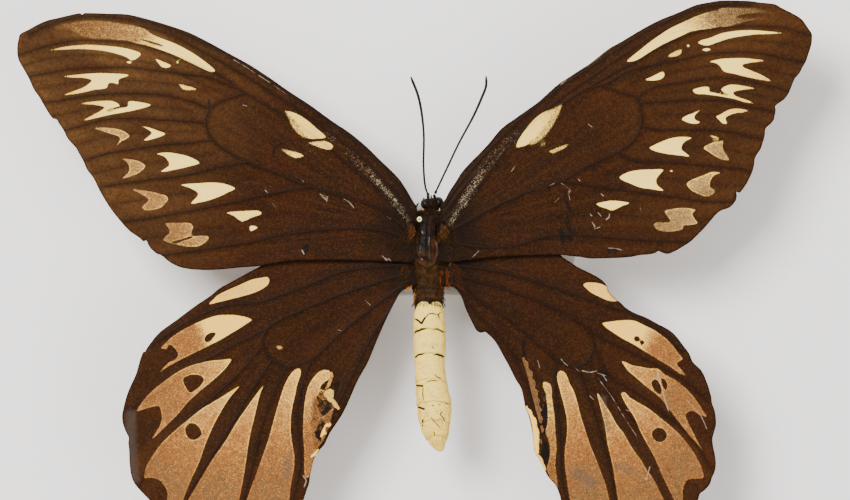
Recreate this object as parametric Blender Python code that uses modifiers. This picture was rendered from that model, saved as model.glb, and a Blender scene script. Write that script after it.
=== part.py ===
"""A spread female birdwing butterfly on its pin, over a small display base.

Metres, +Z up. +Y runs to the head and +X to the butterfly's own right wings.
The origin is the middle of the base's underside.
"""

import math

import bmesh
import bpy
from mathutils import Vector
from mathutils.geometry import delaunay_2d_cdt, intersect_point_line

MM = 0.001
GAP = 0.3 * MM

# Size of the animal, and how the picture's pixels map to it
WINGSPAN = 250 * MM
PICTURE_WINGSPAN = 792
PIXEL = WINGSPAN / PICTURE_WINGSPAN
CENTRE_COLUMN = 428
CENTRE_ROW = 250

# Heights above the table
BASE_THICKNESS = 8 * MM
BODY_HEIGHT = 30 * MM
WING_RISE = 4 * MM
WING_LAYER_DROP = 1.9 * MM
TIP_RISE = 3 * MM
TIP_CURVE = 1.5
FLAT_HALF_SPAN = 12 * MM

# Wings
MEMBRANE = 0.5 * MM
WING_ROOT_HALF = 4.0 * MM
OUTLINE_STEP = 5 * MM
NET_STEP = 8 * MM
NET_CLEARANCE = 2.6 * MM
MERGE = 0.1 * MM
ROOT_STEPS = 4

# Veins: half width and height of their ridges at the wing's root and at its tip
VEIN_ROOT = (0.95 * MM, 0.42 * MM)
VEIN_TIP = (0.55 * MM, 0.2 * MM)
VEIN_STEP = 7 * MM
VEIN_EDGE_CLEARANCE = 0.75 * MM
VEIN_FOOT_CLEARANCE = 0.8 * MM

# Fineness of curves, and how far the cutters reach
CURVE_STEPS = 8
CUTTER_REACH = 10 * MM
SHARP_ANGLE = math.radians(40)

# Body, in millimetres: place along it, half width, half height, shift to the side, droop
BODY_PROFILE = (
    (12.7, 2.6, 2.7, 0.9, 0.3),
    (11.3, 4.2, 4.2, 0.5, 0.1),
    (10.0, 4.9, 4.9, 0.2, 0.0),
    (7.5, 5.5, 5.5, 0.0, 0.0),
    (3.5, 5.9, 6.0, -0.2, 0.0),
    (-1.0, 5.9, 6.1, -0.3, 0.0),
    (-4.0, 5.5, 5.7, -0.2, 0.0),
    (-8.5, 4.9, 5.0, 0.1, 0.2),
    (-12.0, 4.3, 4.3, 0.3, 0.4),
    (-16.5, 4.5, 4.3, 0.3, 0.6),
    (-22.0, 4.8, 4.5, 0.4, 0.8),
    (-31.0, 5.0, 4.7, 0.5, 1.0),
    (-38.0, 4.7, 4.6, 0.6, 1.1),
    (-45.0, 5.15, 4.8, 1.4, 1.2),
    (-49.5, 5.4, 4.8, 2.0, 1.3),
    (-54.0, 4.9, 4.4, 2.1, 1.4),
    (-58.5, 3.9, 3.6, 2.5, 1.5),
    (-61.5, 2.4, 2.4, 3.0, 1.5),
    (-64.0, 0.6, 0.7, 4.0, 1.6),
)
BODY_PARTS = (
    ("prothorax", 12.7, 11.2),
    ("mesothorax", 11.2, -4.0),
    ("metathorax", -4.0, -12.0),
    ("abdomen_1", -12.0, -17.0),
    ("abdomen_2", -17.0, -25.3),
    ("abdomen_3", -25.3, -33.8),
    ("abdomen_4", -33.8, -41.7),
    ("abdomen_5", -41.7, -48.9),
    ("abdomen_6", -48.9, -54.9),
    ("abdomen_7", -54.9, -60.0),
    ("abdomen_8", -60.0, -64.0),
)
BODY_SIDES = 24
RING_STEP = 2.1 * MM
SEAM_PINCH = 0.05
SEAM_ROUND = 0.9 * MM

# Head, in its own frame: place along it, half width, half height, all in millimetres
HEAD_CENTRE = Vector((1.3 * MM, 14.95 * MM, BODY_HEIGHT - 0.4 * MM))
HEAD_TURN = math.radians(7)
HEAD_PROFILE = (
    (-1.95, 1.7, 1.9),
    (-1.4, 2.3, 2.5),
    (-0.5, 2.75, 2.9),
    (0.5, 2.6, 2.75),
    (1.15, 1.9, 2.1),
    (1.5, 0.9, 1.1),
)
EYE_CENTRE = Vector((2.15 * MM, -0.1 * MM, 0.2 * MM))
EYE_RADII = Vector((1.5 * MM, 1.75 * MM, 2.15 * MM))

# Pin
PIN_COLUMN = 419.5
PIN_ROW = 219.5
PIN_RADIUS = 0.35 * MM
PIN_HEAD_RADIUS = 0.82 * MM
PIN_FOOT = 3.2 * MM
PIN_TOP = 43.5 * MM
PIN_POINT = 2.0 * MM
PIN_HEAD_STEPS = 8
PIN_SIDES = 14

# Base
BASE_LENGTH = 96 * MM
BASE_WIDTH = 30 * MM
BASE_CORNER = 14 * MM
BASE_CORNER_STEPS = 8
BASE_EDGE = 0.9 * MM

# Outline of each wing in the picture, from the front of its root round to the back of it
FOREWING_LEFT = (
    (404, 187), (380, 160), (350, 133), (310, 105), (270, 78), (230, 54), (190, 33), (150, 20),
    (110, 14), (80, 14), (50, 20.5), (28, 31), (18.5, 48), (22, 66), (35, 90), (57, 121),
    (77, 149), (94, 178), (112, 210), (135, 234), (162, 256), (190, 269), (225, 269),
    (290, 261.5), (350, 260),
)
FOREWING_RIGHT = (
    (455, 183), (480, 153), (513, 120), (551, 90.5), (590, 63.5), (630, 36.5), (660, 20),
    (697, 5), (740, 1), (775, 5), (799, 18.5), (811, 37), (808, 53), (799, 73), (786, 95),
    (774, 111), (765, 131), (754, 161), (746, 184), (735, 201), (715, 215), (696, 236),
    (672, 252), (640, 256), (600, 258.5), (555, 255.5), (500, 257),
)
HINDWING_LEFT = (
    (380, 240), (330, 233), (285, 246), (260, 266), (240, 277), (210, 296), (175, 321),
    (152, 341), (137, 372), (126, 398), (122.5, 420), (128, 440), (130, 466), (134, 484),
    (150, 503), (175, 528), (210, 548), (250, 554), (282, 544), (297, 522), (304, 498),
    (312, 466), (326, 441), (340, 418), (358, 380), (372, 352), (385, 322), (396, 300),
)
HINDWING_RIGHT = (
    (480, 241), (520, 234), (553, 245), (567, 261), (590, 273), (609, 289), (626, 308),
    (650, 319.5), (672, 332), (689, 353), (704, 375), (711.5, 400), (716, 420), (713.5, 440),
    (716, 463), (710, 484), (699, 499), (688, 516), (668, 533), (640, 546), (608, 552),
    (583, 544), (569, 524), (560, 497), (546, 473), (534, 449), (529, 417), (521, 388),
    (508, 364), (494, 341), (474, 324), (464, 304),
)

# Main veins of each wing in the picture, each from the wing's root or its parent vein to its end
VEINS_FOREWING_LEFT = {
    "costa": ((410, 207), (396, 183), (368, 152), (330, 122.5), (270, 81.5), (210, 46.5), (150, 24), (95, 17.5)),
    "radius": ((410, 222), (380, 190), (350, 166), (300, 126), (245, 93), (215, 73), (190, 61), (140, 45),
               (100, 41), (60, 43.5), (24, 54)),
    "cell_back": ((245, 93), (210, 109), (206, 123), (212, 140), (247, 162), (310, 186.5), (378, 208), (409, 232)),
    "media_1": ((238, 92), (210, 80), (150, 70), (90, 68), (34, 76)),
    "media_2": ((210, 109), (170, 96), (110, 94), (46, 102)),
    "media_3": ((206, 123), (180, 121), (120, 118.5), (66, 130)),
    "cubitus_1": ((212, 140), (190, 143), (150, 147.5), (93, 158)),
    "cubitus_2": ((247, 162), (200, 172), (140, 181), (105, 186)),
    "cubitus_3": ((310, 186.5), (250, 198), (190, 211), (128, 221)),
    "anal": ((409, 241), (350, 229), (290, 233), (230, 245), (172, 252)),
}
VEINS_FOREWING_RIGHT = {
    "costa": ((447, 206), (460, 184), (482, 158), (515, 125), (555, 92), (592, 67), (632, 41), (665, 23),
              (700, 9.5), (750, 5.5)),
    "radius": ((448, 222), (475, 190), (505, 150), (530, 122), (580, 93), (610, 75), (640, 58), (670, 42),
               (700, 31), (745, 26.5), (804, 34)),
    "cell_back": ((600, 84), (636, 98), (641, 124), (632, 142), (590, 165), (540, 187), (480, 207), (448, 232)),
    "media_1": ((600, 84), (625, 74), (650, 66), (690, 58.5), (740, 52.5), (798, 62)),
    "media_2": ((636, 98), (650, 89), (680, 83), (715, 78), (745, 81), (785, 91)),
    "media_3": ((641, 112), (680, 101), (715, 100.5), (750, 107), (770, 111)),
    "cubitus_1": ((641, 124), (680, 129.5), (720, 131), (759, 139)),
    "cubitus_2": ((622, 149), (650, 161), (700, 165), (749, 172)),
    "cubitus_3": ((560, 181), (600, 190), (650, 196), (700, 201), (733, 201)),
    "anal": ((449, 241), (500, 246), (560, 236), (620, 240), (680, 243)),
}
VEINS_HINDWING_LEFT = {
    "costa": ((405, 266), (345, 272), (300, 289), (255, 304), (215, 311), (185, 325), (155, 345)),
    "cell_front": ((404, 274), (350, 292), (300, 312), (265, 330), (260, 350), (284, 365), (310, 360)),
    "cell_back": ((310, 360), (350, 325), (402, 283)),
    "media_1": ((265, 330), (225, 351), (195, 359), (165, 375), (131, 400)),
    "media_2": ((260, 350), (215, 394), (185, 417), (158, 440), (134, 468)),
    "media_3": ((268, 360), (240, 402), (220, 435), (205, 460), (193, 485), (176, 522)),
    "cubitus_1": ((284, 365), (270, 392), (262, 425), (256, 460), (247, 490), (230, 548)),
    "cubitus_2": ((310, 360), (301, 395), (297, 425), (299, 460), (296, 490), (281, 538)),
    "anal": ((401, 292), (372, 338), (348, 384), (330, 420), (317, 449)),
}
VEINS_HINDWING_RIGHT = {
    "costa": ((455, 266), (510, 275), (560, 291), (600, 306), (632, 316), (662, 331), (685, 354)),
    "cell_front": ((456, 274), (510, 292), (560, 312), (590, 330), (598, 352), (583, 367), (558, 360)),
    "cell_back": ((558, 360), (515, 325), (457, 283)),
    "media_1": ((590, 330), (620, 351), (655, 363), (685, 380), (707, 401)),
    "media_2": ((598, 352), (630, 386), (655, 404), (680, 427), (710, 468)),
    "media_3": ((594, 361), (615, 405), (632, 435), (650, 465), (668, 497), (682, 520)),
    "cubitus_1": ((583, 367), (592, 405), (600, 440), (607, 475), (619, 547)),
    "cubitus_2": ((558, 360), (559, 400), (561, 440), (561, 470), (572, 522)),
    "anal": ((458, 291), (482, 322), (508, 350), (528, 390), (541, 430), (549, 462)),
}

# Where each wing's root runs along the body, in millimetres
FOREWING_ROOT = (13.6, -3.6)
HINDWING_ROOT = (-1.4, -11.4)

# Feelers in the picture, from the head to the tip, and how far the tip rises
FEELER_LEFT = ((428.5, 195.5), (425.4, 187), (423.6, 167), (423.6, 131), (418.7, 98), (410.6, 76.5))
FEELER_RIGHT = ((435, 193.5), (439, 185), (448, 166), (459, 143), (473, 117), (481.6, 98), (486, 86), (486, 76))
FEELER_FOOT = 2.0 * MM
FEELER_RISE = 4.0 * MM
FEELER_STEP = 2.2 * MM
FEELER_RADII = ((0.0, 0.34), (0.04, 0.25), (0.55, 0.26), (0.8, 0.36), (0.96, 0.36), (1.0, 0.2))

# Legs in millimetres from the body's middle line: where each leaves the body, then its bends
LEG_ROUTES = {
    "front": ((2.3, 8.0), ((4.6, 9.3, -8.2), (5.8, 10.3, -9.2), (4.2, 13.2, -10.2), (3.0, 15.0, -10.4))),
    "middle": ((2.7, 2.5), ((6.3, 1.0, -8.7), (8.6, -1.0, -9.4), (6.0, -9.0, -10.6), (3.6, -16.0, -10.4))),
    "hind": ((2.4, -6.0), ((4.2, -9.5, -8.0), (4.4, -12.5, -8.8), (3.0, -22.0, -9.0), (2.2, -33.0, -8.3))),
}
LEG_RADII = ((0.0, 0.6), (0.3, 0.55), (0.45, 0.42), (0.75, 0.34), (0.97, 0.27), (1.0, 0.16))
LEG_DROP = 1.1 * MM
LEG_CLEARANCE = 0.66 * MM
LEG_STEP = 1.5 * MM

PALP_ROUTE = ((1.05, 0.4, -3.45), (1.05, 1.4, -2.95), (1.02, 2.15, -1.8), (1.0, 2.3, -0.7))
PALP_RADII = ((0.0, 0.42), (0.6, 0.45), (0.9, 0.36), (1.0, 0.2))
PALP_STEP = 0.5 * MM

TONGUE_RADIUS = 0.25 * MM
TONGUE_CENTRE = Vector((0, 0.8 * MM, -5.5 * MM))
TONGUE_OUTER = 1.75 * MM
TONGUE_PITCH = 0.62 * MM
TONGUE_TURNS = 2.0
TONGUE_STEPS = 14
TONGUE_ROOT = Vector((0, 0.1 * MM, -3.45 * MM))
TONGUE_START = math.radians(115)

TEGULA_CENTRE = (4.9, 6.2, 4.7)
TEGULA_RADII = (1.7, 3.1, 1.5)


def clear_scene():
    """Remove whatever the scene holds, so that only the model is in it."""
    for item in list(bpy.data.objects):
        bpy.data.objects.remove(item, do_unlink=True)


def collection(name):
    """A collection of this name, linked to the scene."""
    found = bpy.data.collections.new(name)
    bpy.context.scene.collection.children.link(found)
    return found


def material(name, colour, roughness, metallic=0.0):
    """A Principled material with the part's own colour."""
    made = bpy.data.materials.new(name)
    made.use_nodes = True
    shader = made.node_tree.nodes["Principled BSDF"]
    shader.inputs["Base Color"].default_value = (*colour, 1.0)
    shader.inputs["Roughness"].default_value = roughness
    shader.inputs["Metallic"].default_value = metallic
    made.diffuse_color = (*colour, 1.0)
    return made


def add_object(name, data, home, finish):
    """Link an object for this mesh or curve, with a material of its own."""
    made = bpy.data.objects.new(name, data)
    home.objects.link(made)
    data.materials.append(material(name, *finish))
    return made


def mesh_from(name, bm):
    """Turn a bmesh into a mesh with outward faces and free the bmesh."""
    bmesh.ops.recalc_face_normals(bm, faces=bm.faces)
    data = bpy.data.meshes.new(name)
    bm.to_mesh(data)
    bm.free()
    return data


def smooth(data):
    """Shade a mesh smooth, with its real edges kept sharp."""
    data.shade_smooth()
    data.set_sharp_from_angle(angle=SHARP_ANGLE)


def cut(target, cutter):
    """Take the cutter's shape out of the target."""
    step = target.modifiers.new("cut " + cutter.name, "BOOLEAN")
    step.operation = "DIFFERENCE"
    step.object = cutter
    cutter.hide_render = True
    cutter.display_type = "WIRE"


def on_plan(column, row):
    """The picture's pixel as a place over the base."""
    return Vector(((column - CENTRE_COLUMN) * PIXEL, (CENTRE_ROW - row) * PIXEL))


def spline(points, steps):
    """Smooth curve through the points, with so many steps between each two."""
    ends = [points[0] * 2 - points[1], *points, points[-1] * 2 - points[-2]]
    path = []
    for before, start, stop, after in zip(ends, ends[1:], ends[2:], ends[3:]):
        for step in range(steps):
            t = step / steps
            path.append(
                0.5 * (
                    2 * start
                    + (stop - before) * t
                    + (2 * before - 5 * start + 4 * stop - after) * t ** 2
                    + (3 * start - before - 3 * stop + after) * t ** 3
                )
            )
    return [*path, points[-1]]


def even(path, spacing):
    """The path again with points about one spacing apart."""
    lengths = [(b - a).length for a, b in zip(path, path[1:])]
    total = sum(lengths)
    count = max(2, round(total / spacing))
    spots = [path[0].copy()]
    walked, leg = 0.0, 0
    for index in range(1, count):
        goal = total * index / count
        while walked + lengths[leg] < goal:
            walked += lengths[leg]
            leg += 1
        spots.append(path[leg].lerp(path[leg + 1], (goal - walked) / lengths[leg]))
    return [*spots, path[-1].copy()]


def smooth_path(points, spacing):
    """Evenly spaced points on a smooth curve through the given ones."""
    return even(spline(points, CURVE_STEPS), spacing)


def table_value(table, at):
    """Read a table of (place, values...) rows between its rows."""
    for low, high in zip(table, table[1:]):
        if at <= high[0]:
            share = max(0.0, (at - low[0]) / (high[0] - low[0]))
            return [a + (b - a) * share for a, b in zip(low[1:], high[1:])]
    return list(table[-1][1:])


def body_curve():
    """The body's profile as a fine table that rises along Y."""
    rows = [Vector(row) * MM for row in reversed(BODY_PROFILE)]
    return [tuple(row) for row in spline(rows, CURVE_STEPS)]


BODY_TABLE = body_curve()


def body_section(y):
    """Middle and half sizes of the body at this place along it."""
    half_width, half_height, shift, droop = table_value(BODY_TABLE, y)
    return Vector((shift, y, BODY_HEIGHT - droop)), half_width, half_height


def body_side(side, y, z):
    """The body's flank at this place and height."""
    middle, half_width, half_height = body_section(y)
    reach = 1 - ((z - middle.z) / half_height) ** 2
    return middle.x + side * half_width * math.sqrt(max(0.0, reach))


def body_underside(x, y):
    """Height of the body's underside at this place."""
    middle, half_width, half_height = body_section(y)
    return middle.z - half_height * math.sqrt(1 - ((x - middle.x) / half_width) ** 2)


def loft(name, sections, sides):
    """Closed mesh through elliptical sections of (middle, half width, half height)."""
    bm = bmesh.new()
    rings = []
    for middle, half_width, half_height in sections:
        ring = []
        for index in range(sides):
            turn = math.tau * index / sides
            offset = Vector((half_width * math.sin(turn), 0, half_height * math.cos(turn)))
            ring.append(bm.verts.new(middle + offset))
        rings.append(ring)
    for near, far in zip(rings, rings[1:]):
        for index in range(sides):
            after = (index + 1) % sides
            bm.faces.new((near[index], near[after], far[after], far[index]))
    bm.faces.new(rings[0])
    bm.faces.new(rings[-1])
    return mesh_from(name, bm)


def ellipsoid(name, centre, radii, segments=16, rings=10):
    """Closed ellipsoid mesh about a centre."""
    bm = bmesh.new()
    bmesh.ops.create_uvsphere(bm, u_segments=segments, v_segments=rings, radius=1)
    bmesh.ops.scale(bm, vec=radii, verts=bm.verts)
    bmesh.ops.translate(bm, vec=centre, verts=bm.verts)
    return mesh_from(name, bm)


def body_sections(front, back, grow=0.0):
    """Sections of one body ring, pinched a little at both of its seams."""
    front_face = front - GAP / 2
    back_face = back + GAP / 2
    count = max(4, round((front_face - back_face) / RING_STEP))
    places = [front_face + (back_face - front_face) * index / count for index in range(count + 1)]
    sections = []
    for y in places:
        middle, half_width, half_height = body_section(y)
        to_seam = min(front_face - y, y - back_face)
        pinch = 1 - SEAM_PINCH * max(0.0, 1 - to_seam / SEAM_ROUND)
        sections.append((middle, half_width * pinch + grow, half_height * pinch + grow))
    return sections


def add_body(home):
    """Thorax and abdomen, ring by ring."""
    finishes = {
        "thorax": ((0.035, 0.02, 0.012), 0.35),
        "first": ((0.04, 0.025, 0.015), 0.6),
        "abdomen": ((0.72, 0.63, 0.36), 0.55),
    }
    made = {}
    for name, front, back in BODY_PARTS:
        kind = "abdomen" if name.startswith("abdomen") else "thorax"
        if name == "abdomen_1":
            kind = "first"
        data = loft(name, body_sections(front * MM, back * MM), BODY_SIDES)
        smooth(data)
        made[name] = add_object(name, data, home, finishes[kind])
    return made


def add_head(home, cutters):
    """Head, its eyes in their sockets, palps and coiled tongue, turned as one."""
    axis = bpy.data.objects.new("head_axis", None)
    home.objects.link(axis)
    axis.location = HEAD_CENTRE
    axis.rotation_euler.z = HEAD_TURN
    sections = [(Vector((0, y * MM, 0)), wide * MM, high * MM) for y, wide, high in HEAD_PROFILE]
    data = loft("head", sections, BODY_SIDES)
    smooth(data)
    head = add_object("head", data, home, ((0.03, 0.018, 0.012), 0.6))
    head.parent = axis
    for side, name in ((-1, "left"), (1, "right")):
        centre = Vector((side * EYE_CENTRE.x, EYE_CENTRE.y, EYE_CENTRE.z))
        ball = ellipsoid("eye_" + name, centre, EYE_RADII)
        smooth(ball)
        eye = add_object("eye_" + name, ball, home, ((0.02, 0.012, 0.008), 0.15))
        eye.parent = axis
        room = ellipsoid("socket_" + name, centre, EYE_RADII + Vector((GAP, GAP, GAP)))
        socket = add_object("socket_" + name, room, cutters, ((0.5, 0.5, 0.5), 0.5))
        socket.parent = axis
        cut(head, socket)
        route = [Vector((side * x, y, z)) * MM for x, y, z in PALP_ROUTE]
        palp = add_tube("palp_" + name, route, PALP_RADII, home, ((0.05, 0.03, 0.02), 0.7), PALP_STEP)
        palp.parent = axis
    tongue = add_tongue(home)
    tongue.parent = axis
    return head


def add_tube(name, route, radii, home, finish, spacing):
    """Tapered round limb along a smooth route, with closed ends."""
    path = smooth_path(route, spacing)
    return add_wire(name, path, radii, home, finish)


def add_wire(name, path, radii, home, finish):
    """Tapered round limb straight through the points of a path."""
    data = bpy.data.curves.new(name, "CURVE")
    data.dimensions = "3D"
    data.bevel_depth = MM
    data.bevel_resolution = 2
    data.use_fill_caps = True
    line = data.splines.new("POLY")
    line.points.add(len(path) - 1)
    for index, (point, place) in enumerate(zip(line.points, path)):
        point.co = (*place, 1)
        point.radius = table_value(radii, index / (len(path) - 1))[0]
    return add_object(name, data, home, finish)


def add_tongue(home):
    """The coiled tongue under the head, a flat spiral that winds inward."""
    path = [TONGUE_ROOT]
    for step in range(round(TONGUE_TURNS * TONGUE_STEPS)):
        turns = step / TONGUE_STEPS
        radius = TONGUE_OUTER - TONGUE_PITCH * turns
        angle = TONGUE_START - math.tau * turns
        path.append(TONGUE_CENTRE + radius * Vector((0, math.cos(angle), math.sin(angle))))
    width = TONGUE_RADIUS / MM
    return add_wire("proboscis", path, ((0.0, width), (1.0, width)), home, ((0.1, 0.05, 0.02), 0.4))


def add_feelers(home):
    """Both clubbed feelers, from the crown of the head out to their tips."""
    for name, pixels in (("antenna_left", FEELER_LEFT), ("antenna_right", FEELER_RIGHT)):
        route = []
        for index, (column, row) in enumerate(pixels):
            share = index / (len(pixels) - 1)
            height = HEAD_CENTRE.z + FEELER_FOOT + FEELER_RISE * share
            route.append(on_plan(column, row).to_3d() + Vector((0, 0, height)))
        add_tube(name, route, FEELER_RADII, home, ((0.012, 0.01, 0.01), 0.4), FEELER_STEP)


def add_legs(home):
    """Six legs folded under the body."""
    for place, (root, bends) in LEG_ROUTES.items():
        for side, name in ((-1, "left"), (1, "right")):
            middle = body_section(root[1] * MM)[0]
            x, y = middle.x + side * root[0] * MM, root[1] * MM
            top = Vector((x, y, body_underside(x, y) - LEG_CLEARANCE))
            route = [top, top - Vector((0, 0, LEG_DROP))]
            route += [Vector((side * bend[0], bend[1], 0)) * MM + Vector((0, 0, BODY_HEIGHT + bend[2] * MM))
                      for bend in bends]
            add_tube("leg_%s_%s" % (place, name), route, LEG_RADII, home, ((0.03, 0.02, 0.015), 0.4), LEG_STEP)


def wing_level(point, drop):
    """Height of a wing's middle sheet, level near the body and rising to the tip."""
    out = max(0.0, abs(point.x) - FLAT_HALF_SPAN) / (WINGSPAN / 2 - FLAT_HALF_SPAN)
    return BODY_HEIGHT + WING_RISE - drop + TIP_RISE * out ** TIP_CURVE


def root_corner(side, y, drop):
    """Where a wing's root meets the body, a gap off its flank."""
    level = BODY_HEIGHT + WING_RISE - drop - MEMBRANE / 2 - VEIN_ROOT[1]
    flank = body_side(side, min(y, BODY_PROFILE[1][0] * MM), level) + side * GAP
    return Vector((max(WING_ROOT_HALF, side * flank) * side, y))


def inside(outline, point):
    """Whether a point lies in a closed outline."""
    crossings = 0
    for a, b in zip(outline, outline[1:] + outline[:1]):
        if (a.y > point.y) != (b.y > point.y):
            if point.x < a.x + (b.x - a.x) * (point.y - a.y) / (b.y - a.y):
                crossings += 1
    return crossings % 2 == 1


def off_path(path, point):
    """Shortest way from a point to a path of straight stretches."""
    shortest = (path[0] - point).length
    for a, b in zip(path, path[1:]):
        share = intersect_point_line(point, a, b)[1]
        nearest = a.lerp(b, min(1.0, max(0.0, share)))
        shortest = min(shortest, (nearest - point).length)
    return shortest


def vein_size(point, root):
    """Half width and height of a vein's ridge at this distance from the wing's root."""
    share = min(1.0, (point - root).length / (WINGSPAN / 2))
    return [low + (high - low) * share for low, high in zip(VEIN_ROOT, VEIN_TIP)]


def ridge(point, crests, root):
    """How far the vein nearest to a point lifts each face of the wing there."""
    half_width, height = vein_size(point, root)
    nearest = min(off_path(crest, point) for crest in crests)
    return height * max(0.0, 1 - nearest / half_width)


def vein_lines(crests, outline, root):
    """Runs of points along the crest and both feet of every vein, all of them inside the wing."""
    lines = []
    for crest in crests:
        others = [other for other in crests if other is not crest]
        lines += runs(crest, lambda point: within(outline, point))
        for side in (-1, 1):
            foot = []
            for index, point in enumerate(crest):
                along = (crest[min(index + 1, len(crest) - 1)] - crest[max(index - 1, 0)]).normalized()
                foot.append(point + side * vein_size(point, root)[0] * Vector((-along.y, along.x)))
            lines += runs(foot, lambda point: within(outline, point) and clear_of(others, point))
    return lines


def runs(line, kept):
    """The stretches of a line whose points pass a test."""
    found = [[]]
    for point in line:
        if kept(point):
            found[-1].append(point)
        elif found[-1]:
            found.append([])
    return [run for run in found if run]


def clear_of(paths, point):
    """Whether the foot of one vein keeps off all the other veins."""
    return all(off_path(path, point) > VEIN_FOOT_CLEARANCE for path in paths)


def within(outline, point):
    """Whether a point lies inside the outline and a little way off it."""
    return inside(outline, point) and off_path(outline + outline[:1], point) > VEIN_EDGE_CLEARANCE


def net_points(outline, taken):
    """Spots of a triangular net inside the outline, clear of the points taken."""
    low_x, high_x = min(p.x for p in outline), max(p.x for p in outline)
    low_y, high_y = min(p.y for p in outline), max(p.y for p in outline)
    spots = []
    row_step = NET_STEP * math.sqrt(3) / 2
    for row in range(math.ceil((high_y - low_y) / row_step)):
        shift = NET_STEP / 2 * (row % 2)
        for column in range(math.ceil((high_x - low_x) / NET_STEP)):
            spot = Vector((low_x + shift + column * NET_STEP, low_y + row * row_step))
            if inside(outline, spot) and all((spot - other).length > NET_CLEARANCE for other in taken):
                spots.append(spot)
    return spots


def add_wing(name, side, pixels, veins, root, drop, home, finish):
    """One wing as a sheet that is given its thickness, and its veins, on both faces."""
    front, back = (root_corner(side, y * MM, drop) for y in root)
    edge = smooth_path([front, *(on_plan(*pixel) for pixel in pixels), back], OUTLINE_STEP)
    seam = [root_corner(side, (root[1] + (root[0] - root[1]) * index / ROOT_STEPS) * MM, drop)
            for index in range(1, ROOT_STEPS)]
    outline = edge + seam
    middle = (front + back) / 2
    crests = [smooth_path([on_plan(*pixel) for pixel in vein], VEIN_STEP) for vein in veins.values()]

    points = list(outline)
    loop = list(range(len(outline)))
    edges = [(index, (index + 1) % len(outline)) for index in loop]
    for line in vein_lines(crests, outline, middle):
        edges += [(len(points) + index, len(points) + index + 1) for index in range(len(line) - 1)]
        points += line
    points += net_points(outline, points)
    spots, _, faces, _, _, _ = delaunay_2d_cdt(points, edges, [loop], 1, MERGE)

    bm = bmesh.new()
    weights = bm.verts.layers.deform.verify()
    thickest = MEMBRANE + 2 * VEIN_ROOT[1]
    verts = []
    for spot in spots:
        vert = bm.verts.new((*spot, wing_level(spot, drop)))
        vert[weights][0] = (MEMBRANE + 2 * ridge(spot, crests, middle)) / thickest
        verts.append(vert)
    for face in faces:
        bm.faces.new([verts[index] for index in face])
    wing = add_object(name, mesh_from(name, bm), home, finish)
    wing.vertex_groups.new(name="thickness")
    thick = wing.modifiers.new("thickness", "SOLIDIFY")
    thick.thickness = thickest
    thick.vertex_group = "thickness"
    thick.offset = 0
    return wing


def add_wings(home):
    """The four wings, the hind pair one layer below the fore pair."""
    brown = ((0.11, 0.055, 0.022), 0.6)
    dark = ((0.075, 0.035, 0.015), 0.6)
    add_wing("forewing_left", -1, FOREWING_LEFT, VEINS_FOREWING_LEFT, FOREWING_ROOT, 0, home, brown)
    add_wing("forewing_right", 1, FOREWING_RIGHT, VEINS_FOREWING_RIGHT, FOREWING_ROOT, 0, home, brown)
    add_wing("hindwing_left", -1, HINDWING_LEFT, VEINS_HINDWING_LEFT, HINDWING_ROOT, WING_LAYER_DROP, home, dark)
    add_wing("hindwing_right", 1, HINDWING_RIGHT, VEINS_HINDWING_RIGHT, HINDWING_ROOT, WING_LAYER_DROP, home, dark)


def add_tegulae(home, cutters):
    """A domed scale over the front of each forewing's root."""
    floor_level = BODY_HEIGHT + WING_RISE + MEMBRANE / 2 + VEIN_ROOT[1] + GAP
    _, front, back = BODY_PARTS[1]
    grown = loft("thorax room", body_sections(front * MM, back * MM, grow=GAP), BODY_SIDES)
    room = add_object("thorax_room", grown, cutters, ((0.5, 0.5, 0.5), 0.5))
    for side, name in ((-1, "left"), (1, "right")):
        x, y, z = (value * MM for value in TEGULA_CENTRE)
        dome = ellipsoid("tegula_" + name, Vector((side * x, y, BODY_HEIGHT + z)), Vector(TEGULA_RADII) * MM)
        smooth(dome)
        tegula = add_object("tegula_" + name, dome, home, ((0.12, 0.05, 0.02), 0.6))
        bm = bmesh.new()
        bmesh.ops.create_cube(bm, size=1)
        bmesh.ops.scale(bm, vec=(CUTTER_REACH, 2 * CUTTER_REACH, CUTTER_REACH), verts=bm.verts)
        across = side * (WING_ROOT_HALF - GAP + CUTTER_REACH / 2)
        bmesh.ops.translate(bm, vec=(across, y, floor_level - CUTTER_REACH / 2), verts=bm.verts)
        slab = add_object("wing_room_" + name, mesh_from("wing_room_" + name, bm), cutters, ((0.5, 0.5, 0.5), 0.5))
        cut(tegula, room)
        cut(tegula, slab)


def cylinder(name, radius, bottom, top, place, cutters):
    """Round cutter that stands at a place between two heights."""
    bm = bmesh.new()
    bmesh.ops.create_cone(bm, cap_ends=True, segments=PIN_SIDES, radius1=radius, radius2=radius, depth=top - bottom)
    bmesh.ops.translate(bm, vec=(place.x, place.y, (top + bottom) / 2), verts=bm.verts)
    return add_object(name, mesh_from(name, bm), cutters, ((0.5, 0.5, 0.5), 0.5))


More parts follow.
